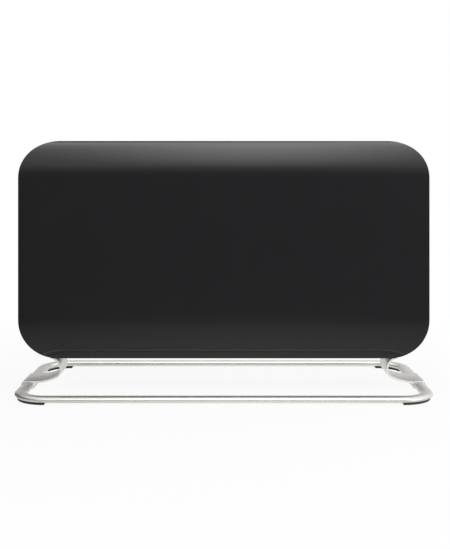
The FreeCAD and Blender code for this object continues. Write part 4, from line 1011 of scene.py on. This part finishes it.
dish = [tip_u * (1 - i / dish_steps) for i in range(1, 2 * dish_steps)]
rocker_outline = (
    arc(0, 0, rocker_reach, -under_angle, rocker_tip, rocker_end_steps)
    + [(u, dish_height(u)) for u in dish]
    + arc(0, 0, rocker_reach, 180 - rocker_tip, 180 + under_angle, rocker_end_steps)
)
ring_last = 360 * ring_steps / (ring_steps + 1)
ring_loops = [arc(0, 0, radius, 0, ring_last, ring_steps) for radius in (ring_r, ring_r - stroke)]
bar_loop = rounded_loop(0, 0, stroke / 2, ring_r, stroke_corner, stroke_steps)
across_x = Matrix(((0, 0, -1, 0), (0, 1, 0, 0), (1, 0, 0, 0), (0, 0, 0, 1)))
mark_lean = asin(mark_out / dish_r)
for body, node, z in (
    ("lower_switch_rocker", "lower_rocker", switch_heights[0]),
    ("upper_switch_rocker", "upper_rocker", switch_heights[1]),
):
    rest = Matrix.Translation((rocker_pivot[0], rocker_pivot[1], z))
    rest = rest @ Matrix.Rotation(radians(rocker_rest), 4, "X")
    shape = ([rocker_outline], 2 * rocker_half, rocker_edge)
    rocker = extruded(node + "_cap", *shape, rest @ across_x, rocker_moulding, rocker_sharp)
    marks = []
    for loops, side in ((ring_loops, -1), ([bar_loop], 1)):
        lean = Matrix.Rotation(-side * mark_lean, 4, "X")
        seat = rest @ Matrix.Translation((0, dish_height(mark_out), side * mark_out)) @ lean @ facing_rear
        marks.append(extruded("mark", loops, mark_height, mark_edge, seat, pale_print))
    marks = joined(marks, node + "_marks")
    for piece in (rocker, marks):
        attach(piece, body)
    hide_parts(node)


# Cord gland: a black nylon bush snapped into the rear panel below the controls, where the mains cord enters.
# Its flange has eased edges and its bore a flared mouth that saves the cord from chafing.
gland_flange = (0.013, 0.013, 0.006)
gland_neck = (0.009, 0.009, 0.003)
gland_outer = 0.043
gland_inner = 0.0288
gland_bore = 0.004
gland_mouth = 0.0015
gland_round = 0.0008
mouth_steps = 4
gland_rings = []
for i in range(mouth_steps + 1):
    a = radians(90 * i / mouth_steps)
    flare = gland_bore + gland_mouth * (1 - cos(a))
    gland_rings.append(disc(flare, gland_outer - gland_mouth + gland_mouth * sin(a)))
gland_rings += rim_rings(gland_flange, gland_outer, gland_round)[::-1]
gland_rings += [(*gland_flange, casing_back), (*gland_neck, casing_back), (*gland_neck, gland_inner)]
gland_rings.append(disc(gland_bore, gland_inner))
gland = lofted("cord_bush", gland_centre, gland_rings, black_moulding, True)
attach(gland, "heater")
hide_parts("cord_gland")


# Screws: domed cross-recess heads, blackened on the casing and bright under the stand. They hold the rear
# panel, the control panel and the inlet grille, and fix the rail ends in the foot brackets.
rear_head = (0.0036, 0.002)
tray_head = (0.0024, 0.0014)
inlet_head = (0.003, 0.0014)
rail_head = (0.003, 0.0009)
rear_frame_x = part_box("rear_panel_screws")[1].x - rear_head[0]
rear_partition_x = 0.1961
rear_screw_x = (-rear_frame_x, rear_partition_x, rear_frame_x)
rear_screw_z = (0.095, 0.333)
tray_screw_half = (0.020, 0.069)
tray_screw_x = (tray_centre[0] - tray_screw_half[0], tray_centre[0] + tray_screw_half[0])
tray_screw_z = (tray_centre[1] - tray_screw_half[1], tray_centre[1] + tray_screw_half[1])
inlet_screw_x = (-0.244, 0.244)
inlet_screw_y = (-0.02425, -0.00675)
rail_screw_x = (-0.315, 0.315)
rail_screw_y = (-0.0285, 0.0115)
rail_screw_z = 0.0013
dome_flat = 0.15
dome_side = 0.35
dome_steps = 6
dome_turn = 15
recess_wide = 0.13
recess_long = 0.55
recess_floor = 0.35
rearward = (0.0, 1.0, 0.0)
downward = (0.0, 0.0, -1.0)


def head_tree():
    """Screw heads at the points of a mesh, all facing one way."""
    tree, given = node_tree("screw_heads", ("Head", "Object"), ("Facing", "Vector"))
    shape = add(tree, "GeometryNodeObjectInfo", {"Object": given["Head"]})
    aim = add(tree, "FunctionNodeAlignRotationToVector", {"Vector": given["Facing"]}, axis="Z")
    copies = {
        "Points": given["Geometry"],
        "Instance": shape.outputs["Geometry"],
        "Rotation": aim.outputs["Rotation"],
    }
    spread = add(tree, "GeometryNodeInstanceOnPoints", copies)
    return close_tree(tree, spread.outputs["Instances"], given)


def screw_head(radius, height, material):
    """One domed head with a cross recess, standing on its own plane."""
    rings = [disc(radius, 0.0)]
    for i in range(dome_steps):
        a = radians(dome_turn * i)
        share = dome_flat + (1 - dome_flat) * cos(a)
        rings.append(disc(radius * share, height * (dome_side + (1 - dome_side) * sin(a))))
    dome = lofted("dome", (0.0, 0.0), rings, material)
    wide = radius * recess_wide
    long = radius * recess_long
    recess = (height * recess_floor, height * 2)
    arms = [hole("arm", (0.0, 0.0), half, *recess) for half in ((long, wide), (wide, long))]
    head = pierced(dome, arms, "head", material)
    head.data.transform(Matrix.Rotation(radians(90), 4, "X"))
    return head


blackened = finish("blackened_screw", (0.02, 0.02, 0.021), 0.38, metallic=0.6, grain=3000.0, shade=0.15)
heads = head_tree()
rear_points = [(x, casing_back, z) for x in rear_screw_x for z in rear_screw_z]
tray_points = [(x, tray_rim_top, z) for x in tray_screw_x for z in tray_screw_z]
inlet_points = [(x, y, casing_bottom) for x in inlet_screw_x for y in inlet_screw_y]
rail_points = [(x, y, rail_screw_z) for x in rail_screw_x for y in rail_screw_y]
for node, slot, material, size, facing, points in (
    ("rear_panel_screws", "black_screw", blackened, rear_head, rearward, rear_points),
    ("control_panel_screws", "black_screw", blackened, tray_head, rearward, tray_points),
    ("inlet_grille_screws", "black_screw", blackened, inlet_head, downward, inlet_points),
    ("rail_screws", "bright_steel", bright_steel, rail_head, downward, rail_points),
):
    head = screw_head(*size, material)
    dots = bpy.data.meshes.new(node)
    dots.from_pydata(points, [], [])
    screws = linked(dots, node + "_heads")
    grow(screws, heads, Head=head, Facing=facing, Finish=material)
    screws = settled(screws, node + "_heads", shell_sharp)
    bpy.data.objects.remove(head)
    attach(screws, "heater")
    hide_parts(node)


# Studio: a floor that the camera sees evenly white and that keeps the heater's soft shadow, in a white
# surround.
# In the gloss and the metal the floor shows a painted reflection instead, darker towards the front and the
# sides.
# A broad soft light hangs overhead and a fill stands at the right. A glowing grey card in front, a dark flag
# at the left and two glowing cards behind are seen only in the gloss and the metal, and the camera stands
# where the photograph was taken.
studio_white = (1.0, 1.0, 1.0, 1.0)
flag_grey = (0.05, 0.05, 0.05, 1.0)
floor_front = -0.70
floor_back = 3.0
floor_half = 3.0
card_y = -2.4
card_half = 3.5
card_low = -0.6
card_top = 2.1
flag_x = -1.3
flag_ends = (-1.4, 1.6)
flag_low = 0.01
flag_top = 1.2
back_y = 2.6
back_half = 2.4
back_low = 0.2
back_split = 0.85
back_top = 2.2
ambient_level = 0.5
shadow_fade = (0.35, 0.95, 0.90, 1.0)
# Levels of the floor's glow seen in the gloss and the metal: a painted reflection, darker towards the front,
# the left and the far right.
painted_reflection_y = (-0.60, 0.0, 0.28, 1.0)
painted_reflection_x = ((-0.62, -0.33, 0.03, 1.0), (0.05, 0.9, 1.0, 0.35), (-0.45, 0.05, 0.7, 1.0))
card_fade = (0.7, card_top, 0.24, 0.75)
upper_back_fade = (-0.9, 1.1, 0.04, 0.30)
lower_back_fade = (-0.9, 1.1, 0.94, 1.0)
softbox_size = (1.6, 3.6)
softbox_level = 1.0
softbox_fade = (0.0, 0.5, 2.4, 0.2)
softbox_at = (0.11, -0.28, 1.7)
face_middle = (0.5, 0.5, 0.0)
fill_size = (1.0, 1.4)
fill_level = 4.0
fill_at = (1.9, -1.7, 0.9)
fill_target = (0.0, 0.0, 0.2)


def worked(tree, operation, first, second):
    """One step of arithmetic on two values."""
    return add(tree, "ShaderNodeMath", {0: first, 1: second}, operation=operation).outputs[0]


def backdrop_rays(tree):
    """One for rays that see the backdrop straight on, in a gloss or through glass, otherwise nought."""
    rays = add(tree, "ShaderNodeLightPath", {}).outputs
    seen = worked(tree, "MAXIMUM", rays["Is Camera Ray"], rays["Is Glossy Ray"])
    return worked(tree, "MAXIMUM", seen, rays["Is Transmission Ray"])


def between(tree, value, low, high, to_low, to_high):
    """Soft step of a value: one level up to a low place, another from a high one on."""
    limits = {"Value": value, "From Min": low, "From Max": high, "To Min": to_low, "To Max": to_high}
    return add(tree, "ShaderNodeMapRange", limits, interpolation_type="SMOOTHSTEP").outputs["Result"]


def glowing(name):
    """A paint that glows, with its tree, its place on the surface and its glow."""
    material = bpy.data.materials.new(name)
    material.use_nodes = True
    tree = material.node_tree
    tree.nodes.remove(tree.nodes["Principled BSDF"])
    place = add(tree, "ShaderNodeTexCoord", {}).outputs["Object"]
    return material, tree, place, add(tree, "ShaderNodeEmission", {"Color": studio_white})


def card_paint(name, axis, limits):
    """Studio card that glows from one level to another along an axis."""
    material, tree, place, glow = glowing(name)
    apart = add(tree, "ShaderNodeSeparateXYZ", {"Vector": place})
    level = between(tree, apart.outputs[axis], *limits)
    tree.links.new(level, glow.inputs["Strength"])
    tree.links.new(glow.outputs[0], tree.nodes["Material Output"].inputs["Surface"])
    return material


def stage_plane(name, corners, material):
    """Flat sheet through four corners with its material, not attached to the heater."""
    mesh = bpy.data.meshes.new(name)
    mesh.from_pydata(corners, [], [(0, 1, 2, 3)])
    mesh.materials.append(material)
    plane = linked(mesh, name)
    return plane


def facing_card(name, y, half, low, high, material):
    """Upright card across the view, which the camera itself doesn't see."""
    card = stage_plane(name, [(-half, y, low), (half, y, low), (half, y, high), (-half, y, high)], material)
    card.visible_camera = False
    return card


def soft_light(name, size, level, place):
    """Rectangular lamp with one level of light over its face, which the camera itself doesn't see."""
    light = bpy.data.lights.new(name, "AREA")
    light.shape = "RECTANGLE"
    light.size, light.size_y = size
    light.energy = level * pi * light.size * light.size_y
    lamp = linked(light, name)
    lamp.location = place
    lamp.visible_camera = False
    return lamp


world = bpy.data.worlds.new("studio")
bpy.context.scene.world = world
world.use_nodes = True
tree = world.node_tree
ambient = tree.nodes["Background"]
ambient.inputs["Color"].default_value = studio_white
ambient.inputs["Strength"].default_value = ambient_level
surround = add(tree, "ShaderNodeBackground", {"Color": studio_white, "Strength": 1.0})
sides = {"Fac": backdrop_rays(tree), 1: ambient.outputs[0], 2: surround.outputs[0]}
choice = add(tree, "ShaderNodeMixShader", sides)
tree.links.new(choice.outputs[0], tree.nodes["World Output"].inputs["Surface"])

floor_paint, tree, place, glow = glowing("floor_paint")
reach = add(tree, "ShaderNodeVectorMath", {0: place}, operation="LENGTH")
fade = between(tree, reach.outputs["Value"], *shadow_fade)
lift = worked(tree, "MULTIPLY", backdrop_rays(tree), fade)
apart = add(tree, "ShaderNodeSeparateXYZ", {"Vector": place})
# Painted reflection: glossy rays see the floor's glow painted darker towards the front, the left and the far
# right, while the camera sees it white.
painted_floor_reflection = between(tree, apart.outputs["Y"], *painted_reflection_y)
for limits in painted_reflection_x:
    painted_floor_reflection = worked(tree, "MULTIPLY", painted_floor_reflection, between(tree, apart.outputs["X"], *limits))
rays = add(tree, "ShaderNodeLightPath", {})
level = add(tree, "ShaderNodeMix", {"Factor": rays.outputs["Is Camera Ray"], "A": painted_floor_reflection, "B": 1.0})
tree.links.new(level.outputs["Result"], glow.inputs["Strength"])
matt = add(tree, "ShaderNodeBsdfDiffuse", {"Color": studio_white})
mix = add(tree, "ShaderNodeMixShader", {"Fac": lift, 1: matt.outputs[0], 2: glow.outputs[0]})
tree.links.new(mix.outputs[0], tree.nodes["Material Output"].inputs["Surface"])
floor_corners = [
    (-floor_half, floor_front, 0),
    (floor_half, floor_front, 0),
    (floor_half, floor_back, 0),
    (-floor_half, floor_back, 0),
]
stage_plane("floor", floor_corners, floor_paint)

front_paint = card_paint("front_card", "Z", card_fade)
facing_card("front_card", card_y, card_half, card_low, card_top, front_paint)
flag_paint = bpy.data.materials.new("flag_paint")
flag_paint.use_nodes = True
cloth = flag_paint.node_tree.nodes["Principled BSDF"]
cloth.inputs["Base Color"].default_value = flag_grey
cloth.inputs["Roughness"].default_value = 0.9
flag_near, flag_far = flag_ends
flag_corners = [
    (flag_x, flag_near, flag_low),
    (flag_x, flag_far, flag_low),
    (flag_x, flag_far, flag_top),
    (flag_x, flag_near, flag_top),
]
stage_plane("side_flag", flag_corners, flag_paint).visible_camera = False
for name, low, high, limits in (
    ("upper_back_card", back_split, back_top, upper_back_fade),
    ("lower_back_card", back_low, back_split, lower_back_fade),
):
    back_paint = card_paint(name, "X", limits)
    facing_card(name, back_y, back_half, low, high, back_paint).visible_diffuse = False

overhead = soft_light("softbox", softbox_size, softbox_level, softbox_at)
overhead.data.use_nodes = True
tree = overhead.data.node_tree
face = add(tree, "ShaderNodeNewGeometry", {})
from_middle = {0: face.outputs["Parametric"], 1: face_middle}
centred = add(tree, "ShaderNodeVectorMath", from_middle, operation="DISTANCE")
fade = between(tree, centred.outputs["Value"], *softbox_fade)
tree.nodes["Emission"].inputs["Color"].default_value = studio_white
tree.links.new(fade, tree.nodes["Emission"].inputs["Strength"])
side_fill = soft_light("side_fill", fill_size, fill_level, fill_at)
fill_aim = Vector(fill_target) - side_fill.location
side_fill.rotation_euler = fill_aim.to_track_quat("-Z", "Y").to_euler()

camera = bpy.data.cameras.new("camera")
camera.sensor_width = 36.0
camera.lens = 60.09
camera.shift_x = 0.0022
camera.shift_y = -0.1896
eye = linked(camera, "camera")
eye.location = (0.0, -1.5141, 0.3534)
eye.rotation_euler = (radians(90), 0, 0)
bpy.context.scene.camera = eye
bpy.context.scene.view_settings.view_transform = "Standard"
